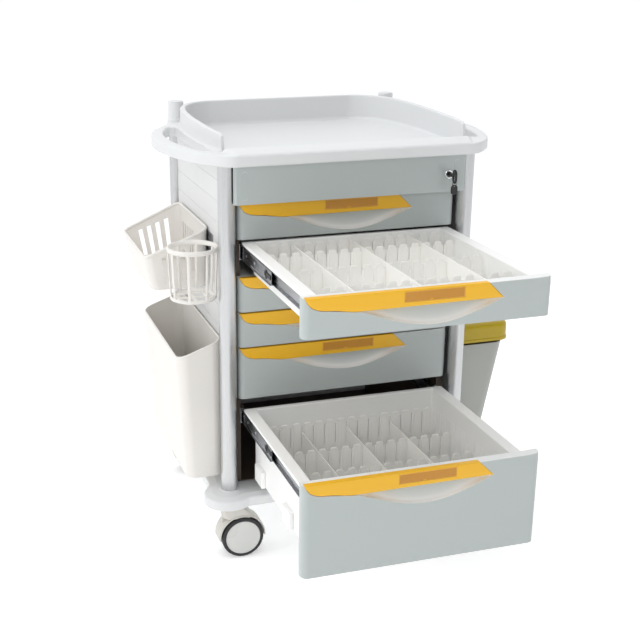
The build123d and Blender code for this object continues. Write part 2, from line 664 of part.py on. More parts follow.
def hung_shell(floor, mouth):
    """Open-topped shell between two rounded rectangles, each (z, centre, width, depth, corner)."""
    for inset, mode in ((0, Mode.ADD), (SHELL, Mode.SUBTRACT)):
        sections = []
        for z, centre, width, depth, corner in (floor, mouth):
            with BuildSketch(level(z + inset)) as section:
                with Locations(centre):
                    RectangleRounded(width - 2 * inset, depth - 2 * inset, corner - inset)
            sections.append(section.sketch)
        loft(sections=sections, mode=mode)


def sloping_rim(inner_z, outer_x, outer_z):
    """Plane that falls from height inner_z at the cabinet to outer_z at outer_x."""
    return Plane(
        origin=(CABINET_X + HANG_X, CABINET_Y, inner_z), x_dir=(0, 1, 0),
        z_dir=(outer_z - inner_z, 0, HANG_X - outer_x),
    )


# Open waste bin on the left: its mouth slopes down and outwards.
with BuildPart() as waste_bin:
    hung_shell((195, (-330, -22), 86, 380, 22), (535, (-339.3, -9), 106.6, 398, 26))
    split(bisect_by=sloping_rim(527, -390, 490), keep=Keep.BOTTOM)

waste_bin.part.label = "waste_bin"
export_step(waste_bin.part, "parts/waste_bin.step")

# Slotted basket on the left: its rim slopes down and outwards too.
BASKET_SLOTS = 4
BASKET_SLOT_X = -318.0    # slot nearest the cabinet
BASKET_SLOT_PITCH = 27.0
BASKET_SLOT_HALF = 7.0
BASKET_SLOT_Z = (642.0, 728.0)
BASKET_SLOT_FALL = 11.0   # each next slot ends this much lower

with BuildPart() as basket:
    hung_shell((618, (-352, 38), 130, 250, 18), (768, (-368, 48), 164, 302, 22))
    split(bisect_by=sloping_rim(760, -REACH_LEFT, 700), keep=Keep.BOTTOM)
    for slot in range(BASKET_SLOTS):
        slot_x = BASKET_SLOT_X - BASKET_SLOT_PITCH * slot
        slot_z = (BASKET_SLOT_Z[0], BASKET_SLOT_Z[1] - BASKET_SLOT_FALL * slot)
        block((slot_x - BASKET_SLOT_HALF, slot_x + BASKET_SLOT_HALF), (-120, 220), slot_z, Mode.SUBTRACT)

basket.part.label = "basket"
export_step(basket.part, "parts/basket.step")

# Cage-like cup holder on the left, in front of the basket.
CUP_X = -343.5
CUP_Y = -181.0
CUP_R = 58.0
CUP_RING = 4.0
CUP_TOP = 742.0
CUP_BOTTOM = 622.0
CUP_BARS = 8

with BuildPart() as cup_holder:
    for low, high in ((CUP_TOP - 12, CUP_TOP), (CUP_BOTTOM, CUP_BOTTOM + 6)):
        upright_rod(CUP_X, CUP_Y, (low, high), CUP_R)
        upright_rod(CUP_X, CUP_Y, (low, high), CUP_R - CUP_RING, Mode.SUBTRACT)
    with Locations(level(CUP_BOTTOM)):
        with Locations((CUP_X, CUP_Y)):
            with PolarLocations(CUP_R - CUP_RING / 2, CUP_BARS, start_angle=22.5):
                Box(
                    CUP_RING, 8, CUP_TOP - CUP_BOTTOM - 4,
                    align=(Align.CENTER, Align.CENTER, Align.MIN),
                )
    for slat in (-32, 0, 32):
        block((CUP_X + slat - 4, CUP_X + slat + 4), (CUP_Y - 46, CUP_Y + 46), (CUP_BOTTOM, CUP_BOTTOM + 3))
    block((CUP_X - 54, CUP_X + 54), (CUP_Y - 4, CUP_Y + 4), (CUP_BOTTOM, CUP_BOTTOM + 3))
    block((-288, -285.5), (CUP_Y - 20, CUP_Y + 20), (CUP_BOTTOM + 20, CUP_TOP))

cup_holder.part.label = "cup_holder"
export_step(cup_holder.part, "parts/cup_holder.step")

# Lidded bin on the right.
BIN_Y = (-150.0, 60.0)
HINGE_X = 296.0
HINGE_Z = 470.0
HINGE_R = 2.5
LID_Z = (412.0, 478.0)

with BuildPart() as side_bin:
    bin_y = sum(BIN_Y) / 2
    hung_shell((209, (358, bin_y), 140, 180, 28), (424, (376, bin_y), 176, 202, 32))
    # hinge ears and pins on the cabinet side
    for y in (-80, 0):
        block((288.5, 300), (y - 14, y - 8), (408, HINGE_Z + 4))
        block((288.5, 300), (y + 2, y + 8), (408, HINGE_Z + 4))
        cross_rod(HINGE_X, (y - 14, y + 8), HINGE_Z, HINGE_R)

side_bin.part.label = "side_bin"
export_step(side_bin.part, "parts/side_bin.step")

with BuildPart() as side_bin_lid:
    with BuildSketch(level(LID_Z[0])):
        with Locations((390, sum(BIN_Y) / 2)):
            RectangleRounded(168, BIN_Y[1] - BIN_Y[0] + 8, 30)
    extrude(amount=LID_Z[1] - LID_Z[0])
    fillet(side_bin_lid.faces().sort_by(Axis.Z)[-1].edges(), 14)
    offset(amount=-SHELL, openings=side_bin_lid.faces().sort_by(Axis.Z)[0], kind=Kind.INTERSECTION)
    block((300, 338), (BIN_Y[0] - 10, BIN_Y[1] + 10), (LID_Z[0] - 1, 432), Mode.SUBTRACT)
    for y in (-80, 0):
        block((HINGE_X - 4, 309), (y - 7.5, y + 1.5), (HINGE_Z - 4, HINGE_Z + 4))
        cross_rod(HINGE_X, (y - 8, y + 2), HINGE_Z, HINGE_R + RUNNING_GAP, Mode.SUBTRACT)

side_bin_lid.part.label = "side_bin_lid"
export_step(side_bin_lid.part, "parts/side_bin_lid.step")

# Hook plates between the side panels and what hangs on them.
HOOKS = (
    (-1, (-130, -60), (700, 750)), (-1, (40, 110), (700, 750)), (-1, (-201, -161), (650, 730)),
    (-1, (-150, 130), (440, 500)), (1, (-120, 30), (330, 400)),
)

with BuildPart() as accessory_hooks:
    for side, y, z in HOOKS:
        block((side * PANEL_OUTER, side * (PANEL_OUTER + 2)), y, z)

accessory_hooks.part.label = "accessory_hooks"
export_step(accessory_hooks.part, "parts/accessory_hooks.step")
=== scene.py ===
import math

import bmesh
import bpy
from mathutils import Matrix, Vector


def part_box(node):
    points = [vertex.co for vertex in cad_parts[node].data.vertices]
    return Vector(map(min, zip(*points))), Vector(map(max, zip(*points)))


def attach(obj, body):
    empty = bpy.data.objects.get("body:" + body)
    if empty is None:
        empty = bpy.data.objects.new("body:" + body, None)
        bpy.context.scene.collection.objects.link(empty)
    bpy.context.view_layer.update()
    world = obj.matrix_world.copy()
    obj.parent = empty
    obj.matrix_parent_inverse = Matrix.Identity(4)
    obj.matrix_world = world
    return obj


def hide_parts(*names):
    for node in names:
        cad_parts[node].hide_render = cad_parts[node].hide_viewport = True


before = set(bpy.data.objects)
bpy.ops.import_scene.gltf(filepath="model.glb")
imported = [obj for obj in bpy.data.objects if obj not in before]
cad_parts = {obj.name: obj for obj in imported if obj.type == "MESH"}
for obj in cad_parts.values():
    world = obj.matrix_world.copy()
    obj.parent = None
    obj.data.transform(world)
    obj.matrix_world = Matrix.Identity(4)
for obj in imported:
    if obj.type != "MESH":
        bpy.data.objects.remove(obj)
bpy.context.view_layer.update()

# A medication cart. Shapes are built in millimetres in the cabinet's own frame: x to the
# right, y to the back, both from the middle of the four posts, z up from the floor.
# piece() brings each shape into the shared frame.

MM = 0.001
posts_low, posts_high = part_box("corner_posts")
POST_R = 19.0
CENTRE = (posts_low + posts_high) / 2
POST_X = (posts_high.x - posts_low.x) / 2 / MM - POST_R
POST_Y = (posts_high.y - posts_low.y) / 2 / MM - POST_R
TO_ROW = Matrix.Translation((CENTRE.x, CENTRE.y, 0)) @ Matrix.Scale(MM, 4)


def box_mm(node):
    """Low and high corner of a CAD node in the cabinet's frame, in millimetres."""
    to_cabinet = TO_ROW.inverted()
    return tuple(to_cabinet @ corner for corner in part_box(node))


# ---------------- materials
def new_material(name):
    material = bpy.data.materials.new(name)
    material.use_nodes = True
    nodes = material.node_tree.nodes
    return material, nodes, material.node_tree.links, nodes["Principled BSDF"]


def noise(nodes, links, scale, detail=3.0, stretch=(1, 1, 1)):
    """Noise over the piece's own place, in features per metre."""
    coordinates = nodes.new("ShaderNodeTexCoord")
    mapping = nodes.new("ShaderNodeMapping")
    mapping.inputs["Scale"].default_value = stretch
    texture = nodes.new("ShaderNodeTexNoise")
    texture.inputs["Scale"].default_value = scale
    texture.inputs["Detail"].default_value = detail
    links.new(coordinates.outputs["Object"], mapping.inputs["Vector"])
    links.new(mapping.outputs["Vector"], texture.inputs["Vector"])
    return texture.outputs["Fac"]


def ramp(nodes, links, factor, low, high, start=0.35, end=0.65):
    """Maps a factor onto the span between two colours or two values."""
    blend = nodes.new("ShaderNodeValToRGB")
    blend.color_ramp.elements[0].position = start
    blend.color_ramp.elements[1].position = end
    for element, value in zip(blend.color_ramp.elements, (low, high)):
        element.color = (*value, 1) if isinstance(value, tuple) else (value, value, value, 1)
    links.new(factor, blend.inputs["Fac"])
    return blend.outputs["Color"]


def bump(nodes, links, shader, height, distance, strength=1.0):
    relief = nodes.new("ShaderNodeBump")
    relief.inputs["Distance"].default_value = distance
    relief.inputs["Strength"].default_value = strength
    links.new(height, relief.inputs["Height"])
    links.new(relief.outputs["Normal"], shader.inputs["Normal"])


def moulded(name, colour, rough=0.38, grain=900.0, depth=0.00004, mottle=0.012, ior=1.5, painted_top_light=None):
    """Injection-moulded plastic: fine grain, and a faint unevenness of colour and gloss.

    Faces that look upwards take a lighter colour, where one is given: painted light, as if lit from above.
    """
    material, nodes, links, shader = new_material(name)
    darker = tuple(c * (1 - mottle) for c in colour)
    tint = ramp(nodes, links, noise(nodes, links, 5.0, 1.0), darker, colour, 0.25, 0.75)
    # Painted light: faces that look upwards are mixed towards the lighter colour, as if lit from above.
    if painted_top_light:
        facing = nodes.new("ShaderNodeTexCoord")
        parts = nodes.new("ShaderNodeSeparateXYZ")
        blend = nodes.new("ShaderNodeMix")
        blend.data_type = "RGBA"
        blend.inputs[7].default_value = (*painted_top_light, 1)
        links.new(facing.outputs["Normal"], parts.inputs["Vector"])
        links.new(ramp(nodes, links, parts.outputs["Z"], 0.0, 1.0, 0.06, 0.45), blend.inputs[0])
        links.new(tint, blend.inputs[6])
        tint = blend.outputs[2]
    links.new(tint, shader.inputs["Base Color"])
    gloss = ramp(nodes, links, noise(nodes, links, 18.0, 1.0), rough - 0.02, rough + 0.03, 0.25, 0.75)
    links.new(gloss, shader.inputs["Roughness"])
    bump(nodes, links, shader, noise(nodes, links, grain, 2.0), depth)
    shader.inputs["IOR"].default_value = ior
    return material


def metal(name, colour, rough=0.3, stretch=(60, 60, 1), depth=0.00002, metallic=1.0):
    """Drawn or brushed metal, its fine lines running along the short side of stretch."""
    material, nodes, links, shader = new_material(name)
    lines = noise(nodes, links, 30.0, 5.0, stretch)
    darker = tuple(c * 0.93 for c in colour)
    links.new(ramp(nodes, links, lines, darker, colour), shader.inputs["Base Color"])
    links.new(ramp(nodes, links, lines, rough - 0.03, rough + 0.05), shader.inputs["Roughness"])
    shader.inputs["Metallic"].default_value = metallic
    bump(nodes, links, shader, lines, depth)
    return material


WHITE = moulded("white_abs", (0.71, 0.72, 0.725), 0.34, depth=0.00003)
TRAY = moulded("tray_abs", (0.90, 0.90, 0.885), 0.42)
DIVIDER = moulded("divider_pp", (0.93, 0.92, 0.885), 0.42, grain=500.0)
# Fronts: a blue-grey tint, with their faces that look upwards painted lighter as painted top light. The dark
# tone of their other faces is partly painted shade.
FRONT = moulded("front_blue_grey", (0.46, 0.505, 0.495), 0.30, painted_top_light=(0.80, 0.81, 0.80))
YELLOW = moulded("handle_yellow", (0.86, 0.47, 0.012), 0.33, mottle=0.03)
AMBER = moulded("label_window", (0.56, 0.25, 0.028), 0.22, mottle=0.08, ior=1.45)
AMBER_EDGE = moulded("label_frame", (0.70, 0.36, 0.05), 0.28, mottle=0.05)
PANEL = moulded("panel_white", (0.74, 0.745, 0.74), 0.45)
DARK = moulded("liner_dark", (0.060, 0.040, 0.028), 0.5, grain=300.0, mottle=0.2)
STEEL = metal("slide_steel", (0.40, 0.41, 0.43), 0.24, (60, 1, 60), 0.000004)
CHASSIS = metal("chassis_steel", (0.30, 0.30, 0.31), 0.45, (1, 40, 40))
POST = metal("post_aluminium", (0.60, 0.605, 0.61), 0.30, (70, 70, 1), 0.000001, metallic=0.9)
SCREW = metal("screw_steel", (0.55, 0.55, 0.56), 0.3, (40, 40, 40))
CHROME = metal("lock_chrome", (0.86, 0.86, 0.87), 0.12, (30, 30, 30))
BLACK = moulded("key_black", (0.012, 0.012, 0.013), 0.30)
LEVER = moulded("lever_black", (0.015, 0.015, 0.016), 0.40)
HOOD = moulded("caster_grey", (0.62, 0.60, 0.555), 0.40)
DISC = moulded("caster_disc", (0.66, 0.665, 0.64), 0.28)
TYRE = moulded("tyre_black", (0.013, 0.013, 0.015), 0.42, grain=1500.0, depth=0.00008)
BIN = moulded("bin_white", (0.80, 0.775, 0.735), 0.40)
BIN_GREY = moulded("bin_grey", (0.42, 0.43, 0.40), 0.42)
LID = moulded("lid_yellow", (0.50, 0.36, 0.010), 0.36, mottle=0.06)


# ---------------- outlines
def arc(centre, radius, start, end, steps=10):
    """Points on a circle between two angles in degrees, both ends included."""
    angles = [math.radians(start + (end - start) * i / steps) for i in range(steps + 1)]
    return [(centre[0] + radius * math.cos(a), centre[1] + radius * math.sin(a)) for a in angles]


def circle(radius, sides, centre=(0, 0)):
    return arc(centre, radius, 0, 360 - 360 / sides, sides - 1)


def rounded_rectangle(centre, width, depth, radius, steps=6):
    """Closed outline, anticlockwise from its right side."""
    x, y = width / 2 - radius, depth / 2 - radius
    outline = []
    for side, end, start in ((1, 1, 0), (-1, 1, 90), (-1, -1, 180), (1, -1, 270)):
        outline += arc((centre[0] + side * x, centre[1] + end * y), radius, start, start + 90, steps)
    return outline


def stadium(centre, width, height, steps=10):
    radius = min(width, height) / 2 - 0.001
    return rounded_rectangle(centre, width, height, radius, steps)


def through(points, start=None, end=None, steps=8):
    """Smooth curve through points, with optional directions at its two ends."""
    points = [Vector(p) for p in points]
    lengths = [(b - a).length for a, b in zip(points[:-1], points[1:])]
    slopes = []
    for i, _ in enumerate(points):
        before, after = points[max(i - 1, 0)], points[min(i + 1, len(points) - 1)]
        slopes.append((after - before) / sum(lengths[max(i - 1, 0):i + 1]))
    if start:
        slopes[0] = Vector(start).normalized()
    if end:
        slopes[-1] = Vector(end).normalized()
    curve = []
    for i, length in enumerate(lengths):
        for step in range(steps):
            t = step / steps
            a = (2 * t**3 - 3 * t**2 + 1) * points[i] + (t**3 - 2 * t**2 + t) * length * slopes[i]
            b = (3 * t**2 - 2 * t**3) * points[i + 1] + (t**3 - t**2) * length * slopes[i + 1]
            curve.append(tuple(a + b))
    return curve + [tuple(points[-1])]


def flipped(outline):
    """The same outline on the other side of the middle, its direction kept."""
    return [(-x, y) for x, y in reversed(outline)]


def mirrored(half):
    """Closed outline from its right half, which runs from front to back."""
    return half + flipped(half)


def inset(outline, amount):
    """Anticlockwise outline moved inwards by an amount."""
    moved = []
    for i, point in enumerate(outline):
        here = Vector(point)
        into = (here - Vector(outline[i - 1])).normalized()
        out = (Vector(outline[(i + 1) % len(outline)]) - here).normalized()
        normal = Vector((-into.y - out.y, into.x + out.x)).normalized()
        share = max(0.4, normal.dot(Vector((-out.y, out.x))))
        moved.append(tuple(here + normal * amount / share))
    return moved


# ---------------- solids
def flat(u, v, w):
    return Vector((u, v, w))


def front_view(u, v, w):
    """Outline in x and z, w is the depth y."""
    return Vector((u, w, v))


def side_view(u, v, w):
    """Outline in y and z, w is x."""
    return Vector((w, u, v))


def loft(shape, rings, closed=True, caps=True):
    """Skin through rings of points, closed at both ends unless caps is false."""
    rows = [[shape.verts.new(point) for point in ring] for ring in rings]
    count = len(rows[0])
    for low, high in zip(rows[:-1], rows[1:]):
        for i in range(count if closed else count - 1):
            j = (i + 1) % count
            shape.faces.new((low[i], low[j], high[j], high[i]))
    if caps:
        shape.faces.new(rows[0][::-1])
        shape.faces.new(rows[-1])
    return rows


def slab(shape, outline, low, high, edge, place=flat, steps=3):
    """Plate of one outline between two levels, with rounded edges."""
    rings = []
    turns = [math.pi / 2 * i / steps for i in range(steps + 1)]
    for turn in turns:
        rings.append((edge * (1 - math.sin(turn)), low + edge * (1 - math.cos(turn))))
    for turn in reversed(turns):
        rings.append((edge * (1 - math.sin(turn)), high - edge * (1 - math.cos(turn))))
    loft(shape, [[place(u, v, w) for u, v in inset(outline, amount)] for amount, w in rings])


def bar(shape, x, y, z, edge=0.6, corner=1.2):
    """Block between (low, high) pairs, its upright edges rounded by corner."""
    centre = (sum(x) / 2, sum(y) / 2)
    corner = min(corner, abs(x[1] - x[0]) * 0.45, abs(y[1] - y[0]) * 0.45)
    edge = min(edge, corner, (z[1] - z[0]) * 0.4)
    outline = rounded_rectangle(centre, abs(x[1] - x[0]), abs(y[1] - y[0]), corner, 3)
    slab(shape, outline, z[0], z[1], edge)


def holed_plate(shape, outlines, low, high, edge, place=flat):
    """Plate with rounded edges: the first outline is its outside, the others are holes."""
    curve = bpy.data.curves.new("plate", "CURVE")
    curve.dimensions = "2D"
    curve.fill_mode = "BOTH"
    curve.extrude = (high - low) / 2 - edge
    curve.bevel_depth = edge
    curve.bevel_resolution = 2
    curve.offset = -edge
    for outline in outlines:
        spline = curve.splines.new("POLY")
        spline.points.add(len(outline) - 1)
        spline.use_cyclic_u = True
        for point, (u, v) in zip(spline.points, outline):
            point.co = (u, v, 0, 1)
    holder = bpy.data.objects.new("plate", curve)
    bpy.context.scene.collection.objects.link(holder)
    mesh = bpy.data.meshes.new_from_object(holder.evaluated_get(bpy.context.evaluated_depsgraph_get()))
    verts = [shape.verts.new(place(v.co.x, v.co.y, v.co.z + (low + high) / 2)) for v in mesh.vertices]
    for polygon in mesh.polygons:
        shape.faces.new([verts[i] for i in polygon.vertices])
    bpy.data.objects.remove(holder)
    bpy.data.curves.remove(curve)
    bpy.data.meshes.remove(mesh)


def sweep(shape, path, sections, closed=False, up=(0, 0, 1)):
    """Moves a section along a path. sections is one list of (side, up) points, or one per path point."""
    up = Vector(up)
    path = [Vector(p) for p in path]
    rings = []
    for i, here in enumerate(path):
        before = path[i - 1] if closed or i else here
        after = path[(i + 1) % len(path)] if closed or i + 1 < len(path) else here
        along = (after - before).normalized()
        side = along.cross(up).normalized()
        lift = side.cross(along)
        section = sections[i] if isinstance(sections[0], list) else sections
        rings.append([here + side * u + lift * v for u, v in section])
    if closed:
        rings.append([point.copy() for point in rings[0]])
    loft(shape, rings, caps=not closed)


def wire_loop(shape, outline, y, radius, sides=10):
    """Wire bent to a closed outline in x and z at a depth y."""
    sweep(shape, [(u, y, v) for u, v in outline], circle(radius, sides), closed=True, up=(0, 1, 0))


def lathe(shape, profile, place, sides=48):
    """Turns a profile of (radius, height) points; place puts (x, y, height) into the cabinet's frame."""
    loft(shape, [[place(u, v, height) for u, v in circle(radius, sides)] for radius, height in profile])


def rod(shape, radius, low, high, place, sides):
    lathe(shape, [(0, low), (radius, low), (radius, high), (0, high)], place, sides)


def upright(x, y):
    """Placement of a lathe shape on a vertical axis."""
    return lambda u, v, w: Vector((x + u, y + v, w))


def crosswise(x, z):
    """Placement of a lathe shape on an axis along y."""
    return lambda u, v, w: Vector((x + u, w, z + v))


def outwards(side, x, y, z):
    """Placement of a lathe shape on an axis along x that points away from the cabinet's middle."""
    return lambda u, v, w: Vector((side * (x + w), y + u, z + v))


def piece(name, shape, material, body, replaces=(), angle=32.0):
    """Makes a shape a piece of the cart that rides on a body."""
    bmesh.ops.remove_doubles(shape, verts=shape.verts, dist=0.002)
    loose = [v for v in shape.verts if not v.link_faces]
    bmesh.ops.delete(shape, geom=loose, context="VERTS")
    bmesh.ops.recalc_face_normals(shape, faces=shape.faces)
    shape.transform(TO_ROW)
    mesh = bpy.data.meshes.new(name)
    shape.to_mesh(mesh)
    shape.free()
    mesh.materials.append(material)
    mesh.shade_smooth()
    mesh.set_sharp_from_angle(angle=math.radians(angle))
    obj = bpy.data.objects.new(name, mesh)
    bpy.context.scene.collection.objects.link(obj)
    flat_faces = obj.modifiers.new("flat_faces", "WEIGHTED_NORMAL")
    flat_faces.keep_sharp = True
    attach(obj, body)
    if replaces:
        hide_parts(*replaces)
    return obj


# ---------------- worktop
EDGE_Z = (928.0, 953.5)
FLOOR_Z = 934.0
EDGE_FRONT, EDGE_REAR = -288.0, 284.0
RIM_FRONT = -222.0
RIM_REAR = 273.0
RIM_TOP = 996.0
RIM_TOP_FRONT = 989.0
BOSS_TOP = 1003.0
FLOOR_PLATE = ((0, 10), 586.0, 524.0, 62.0)
RIM_FLARE, REAR_FLARE = 9.0, 2.0
REAR_FLARE_Y = 225.0
RIM_END_RUN = 17.0
RIM_SLIM_RUN = 110.0
BOSS = (
    (0, 948), (21.5, 948), (21.5, 957), (20.5, 960), (19.2, 961.5), (19, 1000), (18.2, 1002.2),
    (16.4, BOSS_TOP), (11.6, BOSS_TOP), (11, BOSS_TOP - 0.6), (11, 964), (0, 964),
)
SOCKET_CAP = ((0, 985), (10.8, 985), (10.8, 1001.8), (13.5, 1002.2), (13.5, 1002.8), (0, 1002.9))
BEAD = (
    (-285.5, 951), (-285, 953.6), (-281, 955.2), (-262, 958.6), (-247, 961.3), (-241, 962),
    (-236, 961.2), (-230, 957), (-226, 951), (-224, 946),
)
BEAD_END = ((0.98, 0), (1.0, 1), (1.015, 4), (1.04, 12))


def worktop_outline():
    grip = through(
        [(266, EDGE_FRONT), (325, -243), (362, -165), (388, -35), (372, 86), (306, 217)], (1, 0), (-0.35, 1)
    )
    corner = through([(306, 217), (276, 262), (216, EDGE_REAR)], (-0.35, 1), (-1, 0))
    return mirrored([(0, EDGE_FRONT)] + grip + corner[1:] + [(0, EDGE_REAR)])


def hand_slot():
    """Opening beside the right-hand grip: a bow, closed by its straight chord."""
    return through([(303, -200), (322, -203), (347, -117), (358, -25), (348, 70), (318, 148), (303, 148)])


def floor_opening():
    """Opening in the edge plate over the tray's floor: its rear corners follow the raised wall."""
    half_x, front, rear = 288.0, -242.0, 268.0
    rear_r, front_r = 125.0, 26.0
    right = arc((half_x - front_r, front + front_r), front_r, -90, 0, 6)
    right += arc((half_x - rear_r, rear - rear_r), rear_r, 0, 90, 14)
    return mirrored(right)


def rim_path():
    """Middle of the raised wall, from its front right end round the back to its front left end."""
    flank = through([(281, RIM_FRONT), (288, -150), (292, -10), (290, 70)], (0.05, 1), (-0.06, 1))
    bend = through([(290, 70), (278, 168), (256, 224), (228, 256), (186, RIM_REAR)], (-0.06, 1), (-1, 0.05))
    right = flank + bend[1:]
    rear = [(93 - 93 * i, RIM_REAR) for i in range(3)]
    return right + rear + flipped(right)


def rim_section(y):
    """Section of the wall as (outwards, height): low and slim at its front ends, flared at its foot."""
    run = y - RIM_FRONT
    start = EDGE_Z[1] - 4
    full_top = RIM_TOP_FRONT + (RIM_TOP - RIM_TOP_FRONT) * min(1, run / (RIM_REAR - RIM_FRONT) * 1.2)
    reach = min(1.0, max(0.0, run / RIM_END_RUN))
    top = start + (full_top - start) * math.sqrt(1 - (1 - reach) ** 2)
    flare = REAR_FLARE if y > REAR_FLARE_Y else RIM_FLARE
    foot = EDGE_Z[1] - 0.6
    lift = min(1.0, (top - foot) / 40) if top > foot else 0.0
    section = [
        (flare + 7, foot - 5), (flare + 7, foot), (7 + flare * 0.45, foot + 2.5 * lift),
        (7 + flare * 0.12, foot + 9 * lift), (7, foot + 20 * lift), (6.8, top - 5 * lift),
        (5.6, top - 1.8 * lift), (3, top - 0.3), (-3, top - 0.3), (-5.6, top - 1.8 * lift),
        (-6.8, top - 5 * lift), (-7, FLOOR_Z + 8), (-8, FLOOR_Z + 4), (-11, FLOOR_Z + 0.4),
        (-11, FLOOR_Z - 3),
    ]
    slim = 0.45 + 0.55 * min(1.0, run / RIM_SLIM_RUN)
    return [(u * slim, v) for u, v in section]


def make_worktop():
    shape = bmesh.new()
    slot = hand_slot()
    holed_plate(shape, [worktop_outline(), slot, flipped(slot), floor_opening()], *EDGE_Z, 4.5)
    slab(shape, rounded_rectangle(*FLOOR_PLATE, 10), FLOOR_Z - 3, FLOOR_Z, 1)
    path = rim_path()
    sweep(shape, [(x, y, 0) for x, y in path], [rim_section(y) for _, y in path])
    make_bead(shape)
    for side in (-1, 1):
        lathe(shape, BOSS, upright(side * POST_X, POST_Y))
    piece("worktop_tray", shape, WHITE, "cabinet", ["worktop"], angle=38)
    for side, name in ((-1, "left"), (1, "right")):
        cap = bmesh.new()
        lathe(cap, SOCKET_CAP, upright(side * POST_X, POST_Y))
        piece(f"socket_cap_{name}", cap, WHITE, "cabinet")


def make_bead(shape):
    """Ridge along the front edge, its two ends cut on the slant towards the side walls."""
    stations = [(-share, drop) for share, drop in reversed(BEAD_END)] + list(BEAD_END)
    rings = []
    for share, drop in stations:
        ring = []
        for y, z in BEAD:
            reach = 269 + (y + 285) / 4
            ring.append(Vector((share * reach, y, max(z - drop, 944 + (y + 285) * 0.01))))
        ring += [Vector((share * 276, -225, 932)), Vector((share * 266, -283, 932))]
        rings.append(ring)
    loft(shape, rings)


# ---------------- base
BASE_HALF = (318.0, 287.0)
LOBE = (287.0, 245.0)
LOBE_R = 55.0
EDGE_CURVE_R = 34.0
BASE_LEVELS = (
    (2.0, 143.0), (0.5, 143.6), (0.0, 145.0), (0.0, 161.0), (0.5, 163.4), (2.0, 165.0), (4.0, 165.8),
    (15.0, 168.6), (17.0, 169.4), (19.0, 169.8),
)
COLLAR = ((0, 169), (24, 169), (23, 170.6), (20, 171.4), (19.2, 171.2), (19.2, 169.5), (0, 169.5))


def base_outline():
    """Rectangle with a round lobe at each corner, the two joined by hollow curves."""
    reach = LOBE_R + EDGE_CURVE_R
    side_x = BASE_HALF[0] + EDGE_CURVE_R
    side_y = LOBE[1] - math.sqrt(reach**2 - (side_x - LOBE[0]) ** 2)
    front_y = BASE_HALF[1] + EDGE_CURVE_R
    front_x = LOBE[0] - math.sqrt(reach**2 - (front_y - LOBE[1]) ** 2)
    side_turn = math.degrees(math.atan2(LOBE[1] - side_y, side_x - LOBE[0]))
    front_turn = math.degrees(math.atan2(front_y - LOBE[1], LOBE[0] - front_x))
    quarter = arc((side_x, side_y), EDGE_CURVE_R, 180, 180 - side_turn, 8)
    quarter += arc(LOBE, LOBE_R, -side_turn, 180 - front_turn, 24)[1:]
    quarter += arc((front_x, front_y), EDGE_CURVE_R, -front_turn, -90, 6)[1:]
    rear = mirrored(quarter)
    return rear + [(-x, -y) for x, y in rear]


def make_base():
    shape = bmesh.new()
    outline = base_outline()
    loft(shape, [[flat(x, y, z) for x, y in inset(outline, amount)] for amount, z in BASE_LEVELS])
    for side in (-1, 1):
        for end in (-1, 1):
            lathe(shape, COLLAR, upright(side * POST_X, end * POST_Y))
    piece("base_moulding", shape, WHITE, "cabinet", ["base_cover"], angle=38)


# ---------------- drawers
DRAWERS = range(1, 7)
END_R = 14.0
HANDLE_LEFT, HANDLE_TOP_RIGHT, HANDLE_TIP = -252.4, 118.0, 151.0
HANDLE_BEND, HANDLE_DROP = -206.0, 27.5
TIP_DROP = 32.5
HANDLE_DEPTH = 12.0
SCOOP_LEFT = -150.0
SCOOP_LEFT_DROP = 34.5
WINDOW_X = (-57.0, 68.0)
WINDOW_DROP = (3.2, 24.5)
CORNER_FROM, CORNER_RISE = 215.0, 1.4
CREASE_RISE = 17.0
HANDLE_CURVE = through(
    [(HANDLE_LEFT, 0.0), (-238, -20), (HANDLE_BEND, -HANDLE_DROP)], (0.35, -1), (1, 0), 12
)
SCOOP_CURVE = through(
    [
        (SCOOP_LEFT, -SCOOP_LEFT_DROP), (-107, -47.5), (-64, -62), (-8, -71.5), (44, -68.5), (99, -52.5),
        (HANDLE_TIP, -TIP_DROP),
    ],
    (1, -0.05), (1, 0.36),
)


def ease(share):
    """Share that starts and stops softly."""
    return share * share * (3 - 2 * share)


def on_curve(curve, x):
    """Height of a curve of (x, z) points at x."""
    for (x0, z0), (x1, z1) in zip(curve[:-1], curve[1:]):
        if x0 <= x <= x1:
            return z0 + (z1 - z0) * (x - x0) / max(x1 - x0, 1e-6)
    return curve[0][1] if x < curve[0][0] else curve[-1][1]


def handle_low(x):
    """Lower edge of the handle, below the top of its front."""
    if x < HANDLE_BEND:
        return on_curve(HANDLE_CURVE, x)
    if x < SCOOP_LEFT:
        share = ease((x - HANDLE_BEND) / (SCOOP_LEFT - HANDLE_BEND))
        return -HANDLE_DROP - (SCOOP_LEFT_DROP - HANDLE_DROP) * share
    return -SCOOP_LEFT_DROP + (SCOOP_LEFT_DROP - TIP_DROP) * (x - SCOOP_LEFT) / (HANDLE_TIP - SCOOP_LEFT)


def handle_high(x):
    """Upper edge of the handle: its right end is cut on the slant."""
    if x <= HANDLE_TOP_RIGHT:
        return 0.0
    return -TIP_DROP * (x - HANDLE_TOP_RIGHT) / (HANDLE_TIP - HANDLE_TOP_RIGHT)


def end_setback(x, half):
    """How far the face of a front lies back at its rounded ends."""
    over = abs(x) - (half - END_R)
    return END_R - math.sqrt(max(END_R**2 - over**2, 0.0)) if over > 0 else 0.0


